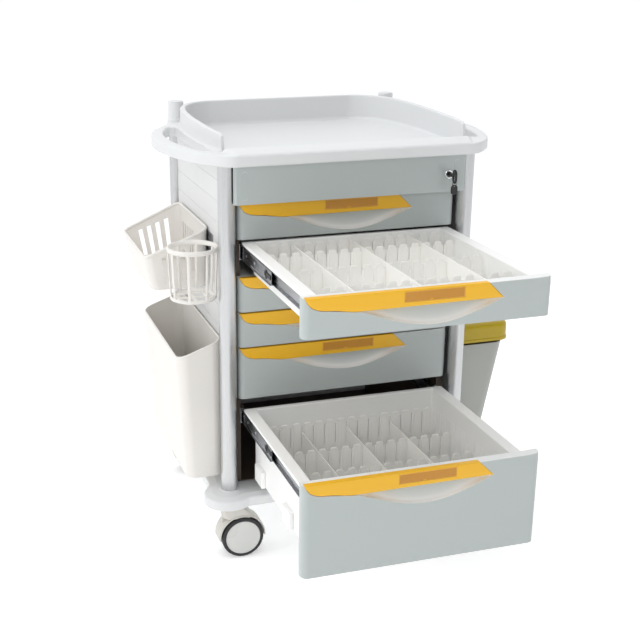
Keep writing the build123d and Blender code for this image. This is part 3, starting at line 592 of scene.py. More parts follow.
def front_column(x, half, face, back, bottom, top, notched):
    """Section of a drawer front at x, from its lower back edge round to its upper back edge."""
    y = face + min(end_setback(x, half), back - face - 3)
    seat = max(face + HANDLE_DEPTH, y + 0.4)
    top += CORNER_RISE * ease(max(0.0, (x - CORNER_FROM) / (half - CORNER_FROM)))
    inside = HANDLE_LEFT <= x <= HANDLE_TIP
    low = top + handle_low(x) if inside else (top - 2 if x < 0 else top - TIP_DROP)
    high = top + handle_high(x) if inside else low
    scoop = top + on_curve(SCOOP_CURVE, x) if inside and x > SCOOP_LEFT else low
    scoop = min(scoop, low)
    column = [(back, bottom), (y + 1.6, bottom), (y + 0.5, bottom + 0.4), (y, bottom + 1.6), (y, scoop)]
    depth = min(HANDLE_DEPTH, (low - scoop) * 1.1)
    for share in (0.06, 0.16, 0.3, 0.48, 0.7, 1.0):
        column.append((y + depth * math.sqrt(1 - (1 - share) ** 2), scoop + (low - scoop) * share))
    column += [(seat, low), (seat, high)] if inside else [(y, low)] * 2
    if inside and notched:
        column += [(seat, top)] * 4
    else:
        tilt = 1.3 * min(1.0, max(0.0, (x - HANDLE_TIP) / 60))
        crease = high
        if x > HANDLE_TIP:
            crease = top - TIP_DROP + CREASE_RISE * ((x - HANDLE_TIP) / (half - HANDLE_TIP)) ** 1.6
        column += [(y, crease), (y + tilt, top - 1.6), (y + tilt + 0.5, top - 0.4), (y + tilt + 1.6, top)]
    column.append((back, top))
    return [Vector((x, depth_y, z)) for depth_y, z in column]


def front_stations(half):
    """Places of a front's sections, dense where its outline curves, with the handle's top end doubled."""
    ends = [half - END_R * (1 - math.sin(math.radians(a))) for a in (0, 15, 30, 45, 60, 75, 90)]
    places = [-x for x in ends] + ends
    places += [x for x, _ in HANDLE_CURVE] + [x for x, _ in SCOOP_CURVE]
    places += [half - END_R - 12 * i for i in range(1, 8)] + [HANDLE_TOP_RIGHT + 5.5 * i for i in range(7)]
    places = sorted(set(round(x, 2) for x in places))
    stations = []
    for x in places:
        if stations and x - stations[-1][0] < 0.3:
            continue
        stations.append((x, x <= HANDLE_TOP_RIGHT))
        if abs(x - HANDLE_TOP_RIGHT) < 0.01:
            stations.append((x, False))
    return stations


def make_front(number):
    low, high = box_mm(f"drawer_front_{number}")
    shape = bmesh.new()
    loft(shape, [
        front_column(x, high.x, low.y, high.y, low.z, high.z, notched)
        for x, notched in front_stations(high.x)
    ])
    node, body = f"drawer_front_{number}", f"drawer_{number}"
    piece(f"front_{number}", shape, FRONT, body, [node], angle=40)


def handle_column(x, half, face, top, pressed):
    """Section of a handle at x, from its lower back edge round to its upper back edge."""
    y = face + end_setback(x, half)
    back = max(face + HANDLE_DEPTH - 0.2, y + 0.2)
    low, high = top + handle_low(x) + 0.25, top + handle_high(x)
    soft = min(2.4, (high - low) * 0.3)
    sunk = 1.1 if pressed else 0.0
    window_low = min(top - WINDOW_DROP[1], high - soft) if pressed else (low + high) / 2
    window_high = top - WINDOW_DROP[0] if pressed else window_low
    column = [
        (back, low), (y + soft, low), (y + soft * 0.3, low + soft * 0.3), (y, low + soft), (y, window_low),
        (y + sunk, window_low), (y + sunk, window_high), (y, window_high), (y, high - soft * 0.7),
        (y + soft * 0.25, high - soft * 0.2), (y + soft * 0.9, high), (back, high),
    ]
    return [Vector((x, min(depth_y, back), z)) for depth_y, z in column]


def make_handle(number):
    low, high = box_mm(f"drawer_front_{number}")
    half, face, top = high.x, low.y, high.z
    places = [x for x, _ in HANDLE_CURVE]
    places += [-195, -180, -165, SCOOP_LEFT, -100, -60, 0, 40, 90, 110, HANDLE_TOP_RIGHT]
    places += [HANDLE_TOP_RIGHT + 5 * i for i in range(1, 6)] + [148, HANDLE_TIP, HANDLE_TIP - 0.3]
    stations = [(x, WINDOW_X[0] < x < WINDOW_X[1]) for x in places]
    for edge, pressed_before in ((WINDOW_X[0], False), (WINDOW_X[1], True)):
        stations += [(edge - 0.01, pressed_before), (edge + 0.01, not pressed_before)]
    shape = bmesh.new()
    loft(shape, [handle_column(x, half, face, top, pressed) for x, pressed in sorted(stations)])
    node, body = f"handle_{number}", f"drawer_{number}"
    piece(f"grip_{number}", shape, YELLOW, body, [node], angle=40)
    make_label(number, face, top)


def make_label(number, face, top):
    """Label window with a small hump below its middle, and its frame, in the pressed part of a handle."""
    x0, x1 = WINDOW_X[0] + 0.8, WINDOW_X[1] - 0.8
    z0, z1 = top - WINDOW_DROP[1] + 0.8, top - WINDOW_DROP[0] - 0.6
    hump = (x0 + x1) / 2 - 6
    outline = [
        (x0, z0), (hump - 7, z0), (hump - 4, z0 + 2.6), (hump, z0 + 3.4), (hump + 4, z0 + 2.6),
        (hump + 7, z0), (x1, z0), (x1, z1), (x0, z1),
    ]
    window = bmesh.new()
    slab(window, outline[::-1], face + 0.45, face + 1.1, 0.25, front_view, 2)
    piece(f"label_window_{number}", window, AMBER, f"drawer_{number}")
    centre, width, height = ((x0 + x1) / 2, (z0 + z1) / 2), x1 - x0, z1 - z0
    outer = rounded_rectangle(centre, width + 1.2, height + 1, 1.2, 3)
    inner = rounded_rectangle(centre, width - 2.2, height - 2.2, 1.0, 3)
    border = bmesh.new()
    holed_plate(border, [outer, inner], face + 0.1, face + 0.8, 0.25, front_view)
    piece(f"label_frame_{number}", border, AMBER_EDGE, f"drawer_{number}")


TRAY_HALF = 222.0
TRAY_WALL = 3.0
FLANGE_HEM = 6.0
RIB_PITCH = 13.75
FACE_SHUT = -239.0
# Raised pads on the tray's side walls, as (low, high) in y of a shut drawer: upper ones on every
# tray, lower ones on the deep trays.
PAD_REACH = 231.8
UPPER_PADS = ((130, 180), (-125, -72), (-212, -180))
LOWER_PADS = ((112, 166), (-85, -34))


def make_tray(number):
    front_low, front_high = box_mm(f"drawer_front_{number}")
    low, high = box_mm(f"drawer_tray_{number}")
    opened = FACE_SHUT - front_low.y
    front, rear = front_high.y, high.y - 9
    bottom, flange = low.z, high.z
    wall = (0, (front + rear) / 2), 2 * TRAY_HALF, rear - front
    lip = (0, (front + high.y) / 2), 2 * high.x, high.y - front
    shape = bmesh.new()

    def ring(size, shrink, corner, z):
        centre, width, depth = size
        outline = rounded_rectangle(centre, width - 2 * shrink, depth - 2 * shrink, corner, 5)
        return [flat(x, y, z) for x, y in outline]

    loft(shape, [
        ring(wall, 3, 6, bottom), ring(wall, 0.8, 6, bottom + 0.9), ring(wall, 0, 6, bottom + 3),
        ring(wall, 0, 6, flange - 3.2), ring(lip, 2, 3, flange - 3.2), ring(lip, 2, 3, flange - FLANGE_HEM),
        ring(lip, 0, 3, flange - FLANGE_HEM), ring(lip, 0, 3, flange - 1), ring(lip, 1, 3, flange),
        ring(wall, TRAY_WALL - 1.5, 6, flange), ring(wall, TRAY_WALL, 5, flange - 1.6),
        ring(wall, TRAY_WALL, 5, bottom + 8), ring(wall, TRAY_WALL + 1.5, 5, bottom + 4.5),
        ring(wall, TRAY_WALL + 5, 5, bottom + TRAY_WALL),
    ])
    inner = TRAY_HALF - TRAY_WALL
    deep = flange - bottom > 120
    pads = [(span, (flange - 39, flange - 2), 1.0, 2.0) for span in UPPER_PADS]
    if deep:
        pads += [(span, (bottom + 1, bottom + 40), 1.2, 2.5) for span in LOWER_PADS]
    for side in (-1, 1):
        y = front + 20
        while y < rear - 12:
            x = (side * (inner + 0.5), side * (inner - 0.8))
            bar(shape, x, (y - 0.9, y + 0.9), (bottom + 4, flange - (42 if deep else 8)), 0.3, 0.4)
            y += RIB_PITCH
        for (near, far), z, edge, corner in pads:
            y = (near - opened, far - opened)
            bar(shape, (side * (TRAY_HALF - 0.5), side * PAD_REACH), y, z, edge, corner)
    node, body = f"drawer_tray_{number}", f"drawer_{number}"
    piece(f"tray_{number}", shape, TRAY, body, [node], angle=35)


TONGUE_PITCH = 27.5
TONGUES_FROM = -7.5 * TONGUE_PITCH
TONGUE_HALF = 8.6
TONGUE_R = 5.0
TONGUE_MARGIN = 1.5
TONGUE_DIP = 9.0
# Long plates stand at x, cross plates at distances from the rear wall. A cut is a slot's depth.
DIVIDER_SETS = {
    2: {
        "x": (-137.5, 0.0, 137.5), "distances": (79.0, 210.5, 339.5), "long_top": 748.0,
        "cross_top": 747.0, "cross_cut": 38, "rear_top": 747.0, "rear_cut": 40,
    },
    6: {
        "x": (-110.0, 0.0, 110.0), "distances": (105.5, 214.0, 322.0), "long_top": 298.0,
        "cross_top": 299.0, "cross_cut": 55, "rear_top": 320.0, "rear_cut": 60,
    },
}


def comb_plate(shape, x0, x1, z0, z1, y, cut):
    """Cross plate from x0 to x1 whose upper edge is a row of rounded tongues with slots between them."""
    space = TONGUE_HALF + TONGUE_MARGIN
    first = math.ceil((x0 + space - TONGUES_FROM) / TONGUE_PITCH)
    after_last = math.ceil((x1 - space - TONGUES_FROM) / TONGUE_PITCH)
    centres = [TONGUES_FROM + TONGUE_PITCH * k for k in range(first, after_last)]
    dip = z1 - TONGUE_DIP
    top = [(x0, dip)]
    for centre in centres:
        left, right = centre - TONGUE_HALF, centre + TONGUE_HALF
        top.append((left, dip))
        top += arc((left + TONGUE_R, z1 - TONGUE_R), TONGUE_R, 180, 90, 4)
        top += arc((right - TONGUE_R, z1 - TONGUE_R), TONGUE_R, 90, 0, 4)
        top.append((right, dip))
        if centre != centres[-1]:
            gap = centre + TONGUE_PITCH / 2
            top += [(gap - 1.1, dip), (gap - 1.1, z1 - cut), (gap + 1.1, z1 - cut), (gap + 1.1, dip)]
        pad = rounded_rectangle((centre, (z0 + z1) / 2 + 1), 2 * TONGUE_HALF - 2.4, z1 - z0 - 4, 5, 4)
        slab(shape, pad, y - 1.6, y + 1.6, 0.8, front_view, 2)
    top.append((x1, dip))
    outline = [(x0, z0), (x1, z0)] + top[::-1]
    loft(shape, [[front_view(u, v, w) for u, v in outline] for w in (y - 0.75, y + 0.75)])


def make_dividers(number):
    plan = DIVIDER_SETS[number]
    low, high = box_mm(f"dividers_{number}")
    shape = bmesh.new()
    comb_plate(shape, low.x + 0.3, high.x - 0.3, low.z, plan["rear_top"], high.y - 1.6, plan["rear_cut"])
    for x in plan["x"]:
        bar(shape, (x - 0.9, x + 0.9), (low.y, high.y - 3.2), (low.z, plan["long_top"]), 0.5, 0.6)
    edges = (low.x - 0.8, *plan["x"], high.x + 0.8)
    for left, right in zip(edges[:-1], edges[1:]):
        for distance in plan["distances"]:
            y = high.y - distance
            comb_plate(shape, left + 1.1, right - 1.1, low.z, plan["cross_top"], y, plan["cross_cut"])
    node, body = f"dividers_{number}", f"drawer_{number}"
    piece(f"divider_grid_{number}", shape, DIVIDER, body, [node], angle=35)


LEVER_X = (240.9, 242.4)
BALL_X, BALL_R, BALL_PITCH = 239.9, 1.9, 9.0
BALL_TRACK = 12.2
RIVET_X, RIVET_PITCH = 240.8, 60.0
RIVET = ((0, 0), (3.4, 0), (3.4, 0.5), (2.6, 0.8), (0, 0.8))


def make_slide_details(number):
    """Release lever, ball cage and rivets on the two slides of a drawer."""
    low, high = box_mm(f"slide_middle_{number}")
    z = (low.z + high.z) / 2
    body = f"slide_middle_{number}"
    levers = bmesh.new()
    balls = bmesh.new()
    for side in (-1, 1):
        x = (side * LEVER_X[0], side * LEVER_X[1])
        bar(levers, x, (low.y + 2, low.y + 44), (z - 4, z + 5), 0.4, 0.7)
        bar(levers, x, (low.y + 30, low.y + 38), (z - 9, z + 9), 0.4, 0.7)
        for track in (-BALL_TRACK, BALL_TRACK):
            for i in range(9):
                place = Matrix.Translation((side * BALL_X, low.y + 70 + i * BALL_PITCH, z + track))
                bmesh.ops.create_icosphere(balls, subdivisions=2, radius=BALL_R, matrix=place)
        for i in range(5):
            lathe(balls, RIVET, outwards(side, RIVET_X, low.y + 120 + RIVET_PITCH * i, z), 16)
    piece(f"release_lever_{number}", levers, LEVER, body)
    piece(f"slide_balls_{number}", balls, SCREW, body)


# ---------------- lock
CAM_Y = (-229.0, -226.0)
BLADE_Y = -283.0
BOW_BACK = 10.0
SPARE_RING = 9.0
WIRE_R = 0.7
PAD_X, PAD_Z = 246.0, (853.0, 914.0)


def make_lock():
    low, high = box_mm("lock_housing")
    x, z, face = (low.x + high.x) / 2, (low.z + high.z) / 2, low.y
    shape = bmesh.new()
    barrel = [
        (5.2, face + 30), (8, face + 30), (8, face + 3), (10, face + 3), (10, face + 0.9), (9.2, face + 0.2),
        (8.2, face), (6.4, face + 0.4), (5.6, face + 1.2), (5.2, face + 2),
    ]
    lathe(shape, barrel, crosswise(x, z), 40)
    piece("lock_barrel", shape, CHROME, "cabinet", ["lock_housing"], angle=35)
    key = bmesh.new()
    plug = [(0, CAM_Y[0]), (5, CAM_Y[0]), (5, face + 0.6), (4.2, face - 0.4), (0, face - 0.4)]
    lathe(key, plug, crosswise(x, z), 32)
    bar(key, (x - 1.2, x + 1.2), (BLADE_Y, face + 1), (z - 4, z + 4), 0.4, 0.8)
    for corner in (x - 1.6, x + 1.6):
        bar(key, (corner - 0.7, corner + 0.7), (-278, -270), (z - 2, z + 2), 0.3, 0.5)
    bow_y, bow_z = box_mm("key")[0].y + BOW_BACK, z - 1
    bow = [stadium((bow_y, bow_z), 20, 31), stadium((bow_y, bow_z - 5), 6, 16)]
    holed_plate(key, bow, x - 1.6, x + 1.6, 0.9, side_view)
    bar(key, (x - 4, x + 4), CAM_Y, (z - 5, z + 14), 0.4, 1.0)
    piece("key_in_lock", key, BLACK, "key", ["key"], angle=40)


def make_spare_key():
    """Second key, hanging from the first one's bow by a loop of wire."""
    low, high = box_mm("spare_key")
    x, y = (low.x + high.x) / 2, box_mm("key")[0].y + BOW_BACK
    top = high.z - WIRE_R
    loop = rounded_rectangle((x, top - SPARE_RING / 2), SPARE_RING, SPARE_RING, 2.2, 4)
    shape = bmesh.new()
    wire_loop(shape, loop, y, WIRE_R)
    plate_top = top - SPARE_RING + WIRE_R + 3
    plate = stadium((x, (low.z + plate_top) / 2), 16, plate_top - low.z)
    hole = circle(1.8, 12, (x, top - SPARE_RING))
    holed_plate(shape, [plate, hole], y - 1.2, y + 1.2, 0.7, front_view)
    piece("hanging_key", shape, BLACK, "spare_key", ["spare_key"], angle=40)


def make_panel_marks():
    """Two upright embossed pads near the ends of the panel over the drawers."""
    face = box_mm("lock_panel")[0].y
    height = PAD_Z[1] - PAD_Z[0]
    shape = bmesh.new()
    for x in (-PAD_X, PAD_X):
        centre = (x, sum(PAD_Z) / 2)
        wire_loop(shape, stadium(centre, 13, height), face + 0.1, 0.45, 8)
        slab(shape, stadium(centre, 11, height - 2), face - 0.25, face + 0.6, 0.25, front_view, 2)
    piece("panel_pads", shape, FRONT, "cabinet")


# ---------------- casters
CORNERS = {"front_left": (-1, -1), "front_right": (1, -1), "rear_left": (-1, 1), "rear_right": (1, 1)}
WHEEL_R = 50.0
TRAIL = 25.0
# The hood's section is (radius, along the axle), the housing's (radius, height), the tread's and
# the disc's (radius, depth from the wheel's inner side).
HOOD_SECTION = (
    (52.4, -22), (52.4, 22), (53.4, 23), (55.0, 22.6), (56, 20), (56, -20), (55.0, -22.6), (53.4, -23)
)
HOUSING = (
    (0, 96), (17, 96), (20, 100), (21.5, 108), (21.8, 128), (20.6, 136), (18, 139), (18, 142), (0, 142)
)
WHEEL_INNER = 7.0
TREAD = (
    (41.5, 0.5), (47, 0), (49.2, 1), (50, 3), (50, 16), (49.2, 18), (47.5, 19.3), (45, 19.6), (41.6, 19),
    (41.2, 17),
)
WHEEL_DISC = (
    (5.2, 0), (41.6, 0.8), (41.6, 18.4), (40.9, 19.7), (39.6, 19.9), (38.8, 19), (36, 19.1), (20, 19.7),
    (0, 19.95), (0, 18.6), (5.2, 18.6),
)


def make_caster(corner, side, end):
    stem_x, stem_y = side * POST_X, end * POST_Y
    x = stem_x + TRAIL
    shape = bmesh.new()
    turns = [math.radians(a) for a in range(-2, 187, 6)]
    loft(shape, [[on_wheel(x, stem_y + y, radius, turn) for radius, y in HOOD_SECTION] for turn in turns])
    lathe(shape, HOUSING, upright(stem_x, stem_y), 40)
    shoulder = []
    for share in (0.0, 0.25, 0.5, 0.75, 1.0):
        width = 2 * (34 - 16 * share * share)
        outline = rounded_rectangle((x - 4 - 19 * share, stem_y), width, 44 - 8 * share, 12, 5)
        shoulder.append([flat(u, v, 98 + 34 * share) for u, v in outline])
    loft(shape, shoulder)
    bar(shape, (x - 46, x + 30), (stem_y - 4, stem_y + 4), (60, 100), 1.0, 3.0)
    rod(shape, 5, stem_y - 26, stem_y + 26, crosswise(x, WHEEL_R), 24)
    rod(shape, 6, 140, 164, upright(stem_x, stem_y), 24)
    body = f"caster_{corner}"
    piece(f"caster_hood_{corner}", shape, HOOD, body, [body], angle=38)
    tyres, discs = bmesh.new(), bmesh.new()
    for way in (-1, 1):
        for wheel, profile in ((tyres, TREAD), (discs, WHEEL_DISC)):
            lathe_ring(wheel, [(r, stem_y + way * (WHEEL_INNER + depth)) for r, depth in profile], x)
    body = f"wheels_{corner}"
    piece(f"tyres_{corner}", tyres, TYRE, body, [body], angle=38)
    piece(f"wheel_discs_{corner}", discs, DISC, body, angle=30)


def on_wheel(x, y, radius, turn):
    """Point at a turn and a distance from a wheel's axle."""
    return Vector((x + radius * math.cos(turn), y, WHEEL_R + radius * math.sin(turn)))


def lathe_ring(shape, profile, x, sides=64):
    """Ring turned about the wheel axle from a closed profile of (radius, y) points."""
    turns = [2 * math.pi * i / sides for i in range(sides + 1)]
    loft(shape, [[on_wheel(x, y, radius, turn) for radius, y in profile] for turn in turns], caps=False)


# ---------------- hung pieces
# A floor or a mouth is (height, centre, width, depth, corner radius). A slope is the rim's height
# at the cabinet's side and its fall from there outwards.
HANG_X = -286.0
WASTE_FLOOR = (195.0, (-330.0, -22.0), 86.0, 380.0, 22.0)
WASTE_MOUTH = (535.0, (-339.3, -9.0), 106.6, 398.0, 26.0)
WASTE_SLOPE = (527.0, 37 / 104)
BASKET_FLOOR = (618.0, (-352.0, 38.0), 130.0, 250.0, 18.0)
BASKET_MOUTH = (768.0, (-368.0, 48.0), 164.0, 302.0, 22.0)
BASKET_SLOPE = (760.0, 60 / 149)
BASKET_ENDS = (-299.0, -427.0)
SLOTS_FROM, SLOT_PITCH, SLOT_HALF = -318.0, 27.0, 6.6
BIN_FLOOR = (209.0, (358.0, -45.0), 140.0, 180.0, 28.0)
BIN_MOUTH = (424.0, (376.0, -45.0), 176.0, 202.0, 32.0)
HINGE_Y = (-80, 0)
LID_INNER_X = 306.0
CUP = (-343.5, -181.0)
CUP_TOP, CUP_BOTTOM = 742.0, 622.0
CUP_R = (58.0, 53.0)


def shell_points(floor, mouth, steps):
    """Pairs of matching points on the floor and the mouth outline of a tapering shell."""
    z0, centre0, width0, depth0, corner0 = floor
    z1, centre1, width1, depth1, corner1 = mouth
    low = rounded_rectangle(centre0, width0, depth0, corner0, steps)
    high = rounded_rectangle(centre1, width1, depth1, corner1, steps)
    return [(Vector((*a, z0)), Vector((*b, z1))) for a, b in zip(low, high)]


def rim_share(low, high, slope):
    """Share of the way from floor to mouth at which a sloping rim cuts a wall line."""
    inner_z, fall = slope
    start = inner_z + fall * (low.x - HANG_X) - low.z
    return start / ((high.z - low.z) - fall * (high.x - low.x))


def wall_grid(shape, pairs, slope, rows, wall):
    """Rows of vertices on the wall lines moved inwards by a wall, the lowest row lifted by it."""
    lows = inset([(a.x, a.y) for a, _ in pairs], wall)
    highs = inset([(b.x, b.y) for _, b in pairs], wall)
    grid = [[] for _ in rows]
    for (a, b), low, high in zip(pairs, lows, highs):
        low, high = Vector((*low, a.z)), Vector((*high, b.z))
        share = rim_share(low, high, slope)
        for ring, row in zip(grid, rows):
            ring.append(shape.verts.new(low.lerp(high, share * row) + Vector((0, 0, wall * (1 - row)))))
    return grid


def open_shell(shape, pairs, slope, rows, wall, is_slot=lambda i, level: False):
    """Shell with a floor and a rim that slopes: rows are heights as shares of each wall line."""
    outer, inner = wall_grid(shape, pairs, slope, rows, 0), wall_grid(shape, pairs, slope, rows, wall)
    for i in range(len(pairs)):
        j = (i + 1) % len(pairs)
        for level in range(len(rows) - 1):
            a, b, c, d = outer[level], inner[level], outer[level + 1], inner[level + 1]
            if not is_slot(i, level):
                shape.faces.new((a[i], a[j], c[j], c[i]))
                shape.faces.new((b[i], d[i], d[j], b[j]))
                continue
            shape.faces.new((a[i], a[j], b[j], b[i]))
            shape.faces.new((c[i], d[i], d[j], c[j]))
            if not is_slot(i - 1, level):
                shape.faces.new((a[i], b[i], d[i], c[i]))
            if not is_slot(j, level):
                shape.faces.new((a[j], c[j], d[j], b[j]))
        shape.faces.new((outer[-1][i], outer[-1][j], inner[-1][j], inner[-1][i]))
    shape.faces.new(outer[0][::-1])
    shape.faces.new(inner[0])
    return [v.co.copy() for v in outer[-1]]


def rolled_rim(shape, rim, inwards, sink, width, height):
    """Rounded band along a rim, moved inwards in plan and down."""
    plan = inset([(p.x, p.y) for p in rim], inwards)
    path = [Vector((x, y, p.z - sink)) for (x, y), p in zip(plan, rim)]
    section = [(u * width / 2, v * height / 2) for u, v in circle(1, 12)]
    sweep(shape, path, section, closed=True)


def make_waste_bin():
    shape = bmesh.new()
    pairs = shell_points(WASTE_FLOOR, WASTE_MOUTH, 8)
    rim = open_shell(shape, pairs, WASTE_SLOPE, (0, 0.015, 0.5, 1), 2.5)
    rolled_rim(shape, rim, 1.4, 2, 4.6, 4.6)
    piece("waste_container", shape, BIN, "cabinet", ["waste_bin"], angle=38)


def with_slots(pairs, places):
    """Adds wall lines on the two end walls, at both edges of each slot, and lists the slot cells."""
    edges = [place + way * SLOT_HALF for place in places for way in (-1, 1)]
    result, cells = [], []
    for i, (a, b) in enumerate(pairs):
        result.append((a, b))
        next_a, next_b = pairs[(i + 1) % len(pairs)]
        run = next_a - a
        if abs(run.x) > 40 and abs(run.y) < 5:
            cells += range(len(result), len(result) + len(edges), 2)
            for edge in sorted(edges, reverse=run.x < 0):
                share = (edge - BASKET_ENDS[0]) / (BASKET_ENDS[1] - BASKET_ENDS[0])
                share = 1 - share if run.x > 0 else share
                result.append((a.lerp(next_a, share), b.lerp(next_b, share)))
    return result, cells


def make_basket():
    shape = bmesh.new()
    places = [SLOTS_FROM - SLOT_PITCH * k for k in range(4)]
    pairs, cells = with_slots(shell_points(BASKET_FLOOR, BASKET_MOUTH, 5), places)
    rows = (0, 0.02, 0.16, 0.80, 0.9, 1.0)
    rim = open_shell(shape, pairs, BASKET_SLOPE, rows, 2.6, lambda i, level: level == 2 and i in cells)
    rolled_rim(shape, rim, 2.2, 3.2, 6.4, 7.4)
    for k in range(9):
        y = -52 + 24 * k
        bar(shape, (-291.2, -289.6), (y, y + 2.4), (640, 720), 0.4, 0.6)
    piece("slotted_basket", shape, BIN, "cabinet", ["basket"], angle=38)


def make_cup_holder():
    shape = bmesh.new()
    top, foot = CUP_R[0] - 3.4, CUP_R[1] - 3
    for radius, z, scale in ((CUP_R[0] - 3.6, CUP_TOP - 6, 1.0), (foot, CUP_BOTTOM + 4, 0.72)):
        ring = [(x, y, z) for x, y in circle(radius, 48, CUP)]
        sweep(shape, ring, [(3.4 * u * scale, 5.6 * v * scale) for u, v in circle(1, 12)], closed=True)
    middle = ((top + foot) / 2 + 0.4, (CUP_TOP + CUP_BOTTOM) / 2)
    stave = [(3.6 * u, 2.2 * v) for u, v in circle(1, 12)]
    for k in range(8):
        turn = math.radians(22.5 + 45 * k)
        c, s = math.cos(turn), math.sin(turn)
        line = [(top, CUP_TOP - 7), middle, (foot, CUP_BOTTOM + 4)]
        sweep(shape, [(CUP[0] + r * c, CUP[1] + r * s, z) for r, z in line], stave, up=(-c, -s, 0))
    for slat in (-32, 0, 32):
        reach = math.sqrt((CUP_R[1] - 5) ** 2 - slat**2)
        x, y = CUP[0] + slat, CUP[1] + slat
        bar(shape, (x - 4, x + 4), (CUP[1] - reach, CUP[1] + reach), (622.2, 625.4), 0.8, 1.5)
        bar(shape, (CUP[0] - reach, CUP[0] + reach), (y - 3, y + 3), (622.4, 625.2), 0.8, 1.5)
    slab(shape, rounded_rectangle((CUP[1], 692), 40, 98, 5, 4), -288.4, -285.6, 0.8, side_view)
    piece("cup_cage", shape, BIN, "cabinet", ["cup_holder"], angle=38)


def make_side_bin():
    shape = bmesh.new()
    pairs = shell_points(BIN_FLOOR, BIN_MOUTH, 8)
    rim = open_shell(shape, pairs, (BIN_MOUTH[0], 0.0), (0, 0.015, 0.5, 1), 2.5)
    rolled_rim(shape, rim, 1.2, 2, 2.4, 4.4)
    for y in HINGE_Y:
        for start in (y - 14, y + 2):
            bar(shape, (288.5, 300), (start, start + 6), (408, 474), 0.8, 2.0)
        rod(shape, 2.5, y - 14, y + 8, crosswise(296, 470), 20)
    piece("sharps_bin", shape, BIN_GREY, "cabinet", ["side_bin"], angle=38)


def make_side_bin_lid():
    low, high = box_mm("side_bin_lid")
    centre = ((LID_INNER_X + high.x) / 2, (low.y + high.y) / 2)
    width, depth = high.x - LID_INNER_X, high.y - low.y
    bottom, top = low.z, high.z
    lid = bmesh.new()

    def ring(shrink, corner, z):
        outline = rounded_rectangle(centre, width - 2 * shrink, depth - 2 * shrink, corner, 8)
        return [flat(x, y, z) for x, y in outline]

    loft(lid, [
        ring(0, 30, bottom + 20), ring(0, 30, bottom + 26), ring(1.6, 29, bottom + 28),
        ring(1.6, 29, top - 12), ring(3.2, 27, top - 6), ring(7, 24, top - 2.2), ring(13, 19, top - 0.4),
        ring(18, 15, top), ring(20, 14, top - 1.2), ring(18, 15, top - 2.5), ring(10, 21, top - 4),
        ring(5.6, 25, top - 9), ring(4.2, 27, top - 14),
    ], caps=False)
    slab(lid, rounded_rectangle(centre, width - 38, depth - 38, 14, 8), top - 2.6, top - 0.9, 0.5)
    for y in HINGE_Y:
        bar(lid, (292.5, 309), (y - 7.2, y + 1.2), (466, 474), 1.0, 2.0)
    piece("sharps_lid", lid, LID, "bin_lid", ["side_bin_lid"], angle=38)


# ---------------- CAD nodes that stay
KEPT = {
    "corner_posts": POST, "side_panels": PANEL, "rear_panel": PANEL, "rear_screws": SCREW,
    "drawer_frame": DARK, "lock_panel": FRONT, "slide_cabinet_members": STEEL, "lock_bar": STEEL,
    "accessory_hooks": STEEL, "base_frame": CHASSIS,
}


def dress(node, material):
    """Gives a CAD node a finished material."""
    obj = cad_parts[node]
    for slot in obj.material_slots:
        slot.material = material


def make_stage():
    floor = bmesh.new()
    bmesh.ops.create_grid(floor, x_segments=1, y_segments=1, size=60.0)
    mesh = bpy.data.meshes.new("floor")
    floor.to_mesh(mesh)
    floor.free()
    material, nodes, links, shader = new_material("studio_floor")
    tint = ramp(nodes, links, noise(nodes, links, 0.7), 0.93, 0.95)
    links.new(tint, shader.inputs["Base Color"])
    shader.inputs["Roughness"].default_value = 0.9
    shader.inputs["Emission Color"].default_value = (1, 1, 1, 1)
    shader.inputs["Emission Strength"].default_value = 0.32
    mesh.materials.append(material)
    obj = bpy.data.objects.new("floor", mesh)
    obj.location.z = -0.0005
    bpy.context.scene.collection.objects.link(obj)


def area_light(name, place, target, size, power):
    light = bpy.data.lights.new(name, "AREA")
    light.shape = "RECTANGLE"
    light.size, light.size_y = size
    light.energy = power
    obj = bpy.data.objects.new(name, light)
    obj.location = place
    obj.rotation_euler = (Vector(target) - Vector(place)).to_track_quat("-Z", "Y").to_euler()
    bpy.context.scene.collection.objects.link(obj)


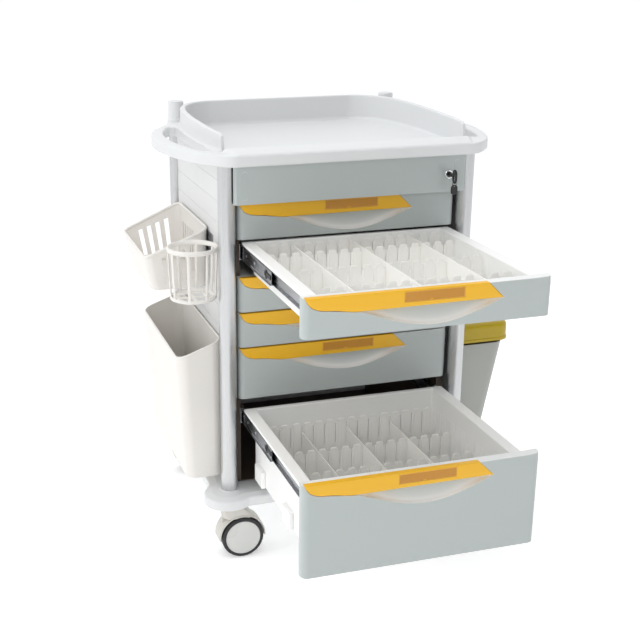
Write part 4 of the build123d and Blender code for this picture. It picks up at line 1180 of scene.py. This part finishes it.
def make_lights():
    """Bright wall behind the cart, dimmer room in front of it, soft lights from the left, top and front."""
    world = bpy.data.worlds.new("studio")
    bpy.context.scene.world = world
    world.use_nodes = True
    nodes, links = world.node_tree.nodes, world.node_tree.links
    background = nodes["Background"]
    background.inputs["Color"].default_value = (0.975, 0.985, 1.0, 1)
    direction = nodes.new("ShaderNodeTexCoord")
    towards_wall = nodes.new("ShaderNodeVectorMath")
    towards_wall.operation = "DOT_PRODUCT"
    towards_wall.inputs[1].default_value = (-0.22, 0.96, 0.12)
    strength = nodes.new("ShaderNodeMapRange")
    strength.interpolation_type = "SMOOTHSTEP"
    for name, value in (("From Min", -0.55), ("From Max", 0.45), ("To Min", 0.30), ("To Max", 1.03)):
        strength.inputs[name].default_value = value
    links.new(direction.outputs["Generated"], towards_wall.inputs[0])
    links.new(towards_wall.outputs["Value"], strength.inputs["Value"])
    links.new(strength.outputs["Result"], background.inputs["Strength"])
    middle = (0, 0, 0.5)
    area_light("key_left", (-3.2, 0.0, 1.9), middle, (2.4, 2.2), 15)
    area_light("top_soft", (-0.5, -0.4, 3.4), middle, (2.6, 2.6), 34)
    area_light("front_fill", (-1.3, -3.3, 2.1), (0, -0.3, 0.5), (2.4, 1.6), 26)
    bpy.context.scene.view_settings.view_transform = "Standard"


def make_camera():
    """Camera at the viewing angle of a standing person in front of the cart, to its left."""
    eye = Vector((CENTRE.x - 0.8866, CENTRE.y - 2.4939, 1.3591))
    yaw, pitch, roll = math.radians(16.755), math.radians(18.583), math.radians(-0.121)
    turn = Matrix.Rotation(-yaw, 4, "Z") @ Matrix.Rotation(math.pi / 2 - pitch, 4, "X")
    camera = bpy.data.cameras.new("camera")
    camera.sensor_width = 36.0
    camera.lens = 62.75
    camera.shift_x = 0.0947
    camera.shift_y = 0.0054
    obj = bpy.data.objects.new("camera", camera)
    obj.matrix_world = Matrix.Translation(eye) @ turn @ Matrix.Rotation(roll, 4, "Z")
    bpy.context.scene.collection.objects.link(obj)
    bpy.context.scene.camera = obj


make_camera()
make_stage()
make_lights()
make_worktop()
make_base()
for drawer in DRAWERS:
    make_front(drawer)
    make_handle(drawer)
    make_tray(drawer)
    make_slide_details(drawer)
    dress(f"slide_middle_{drawer}", STEEL)
    dress(f"slide_inner_{drawer}", STEEL)
for drawer in DIVIDER_SETS:
    make_dividers(drawer)
make_lock()
make_spare_key()
make_panel_marks()
for corner_name, (corner_side, corner_end) in CORNERS.items():
    make_caster(corner_name, corner_side, corner_end)
make_waste_bin()
make_basket()
make_cup_holder()
make_side_bin()
make_side_bin_lid()
for kept_node, kept_material in KEPT.items():
    dress(kept_node, kept_material)
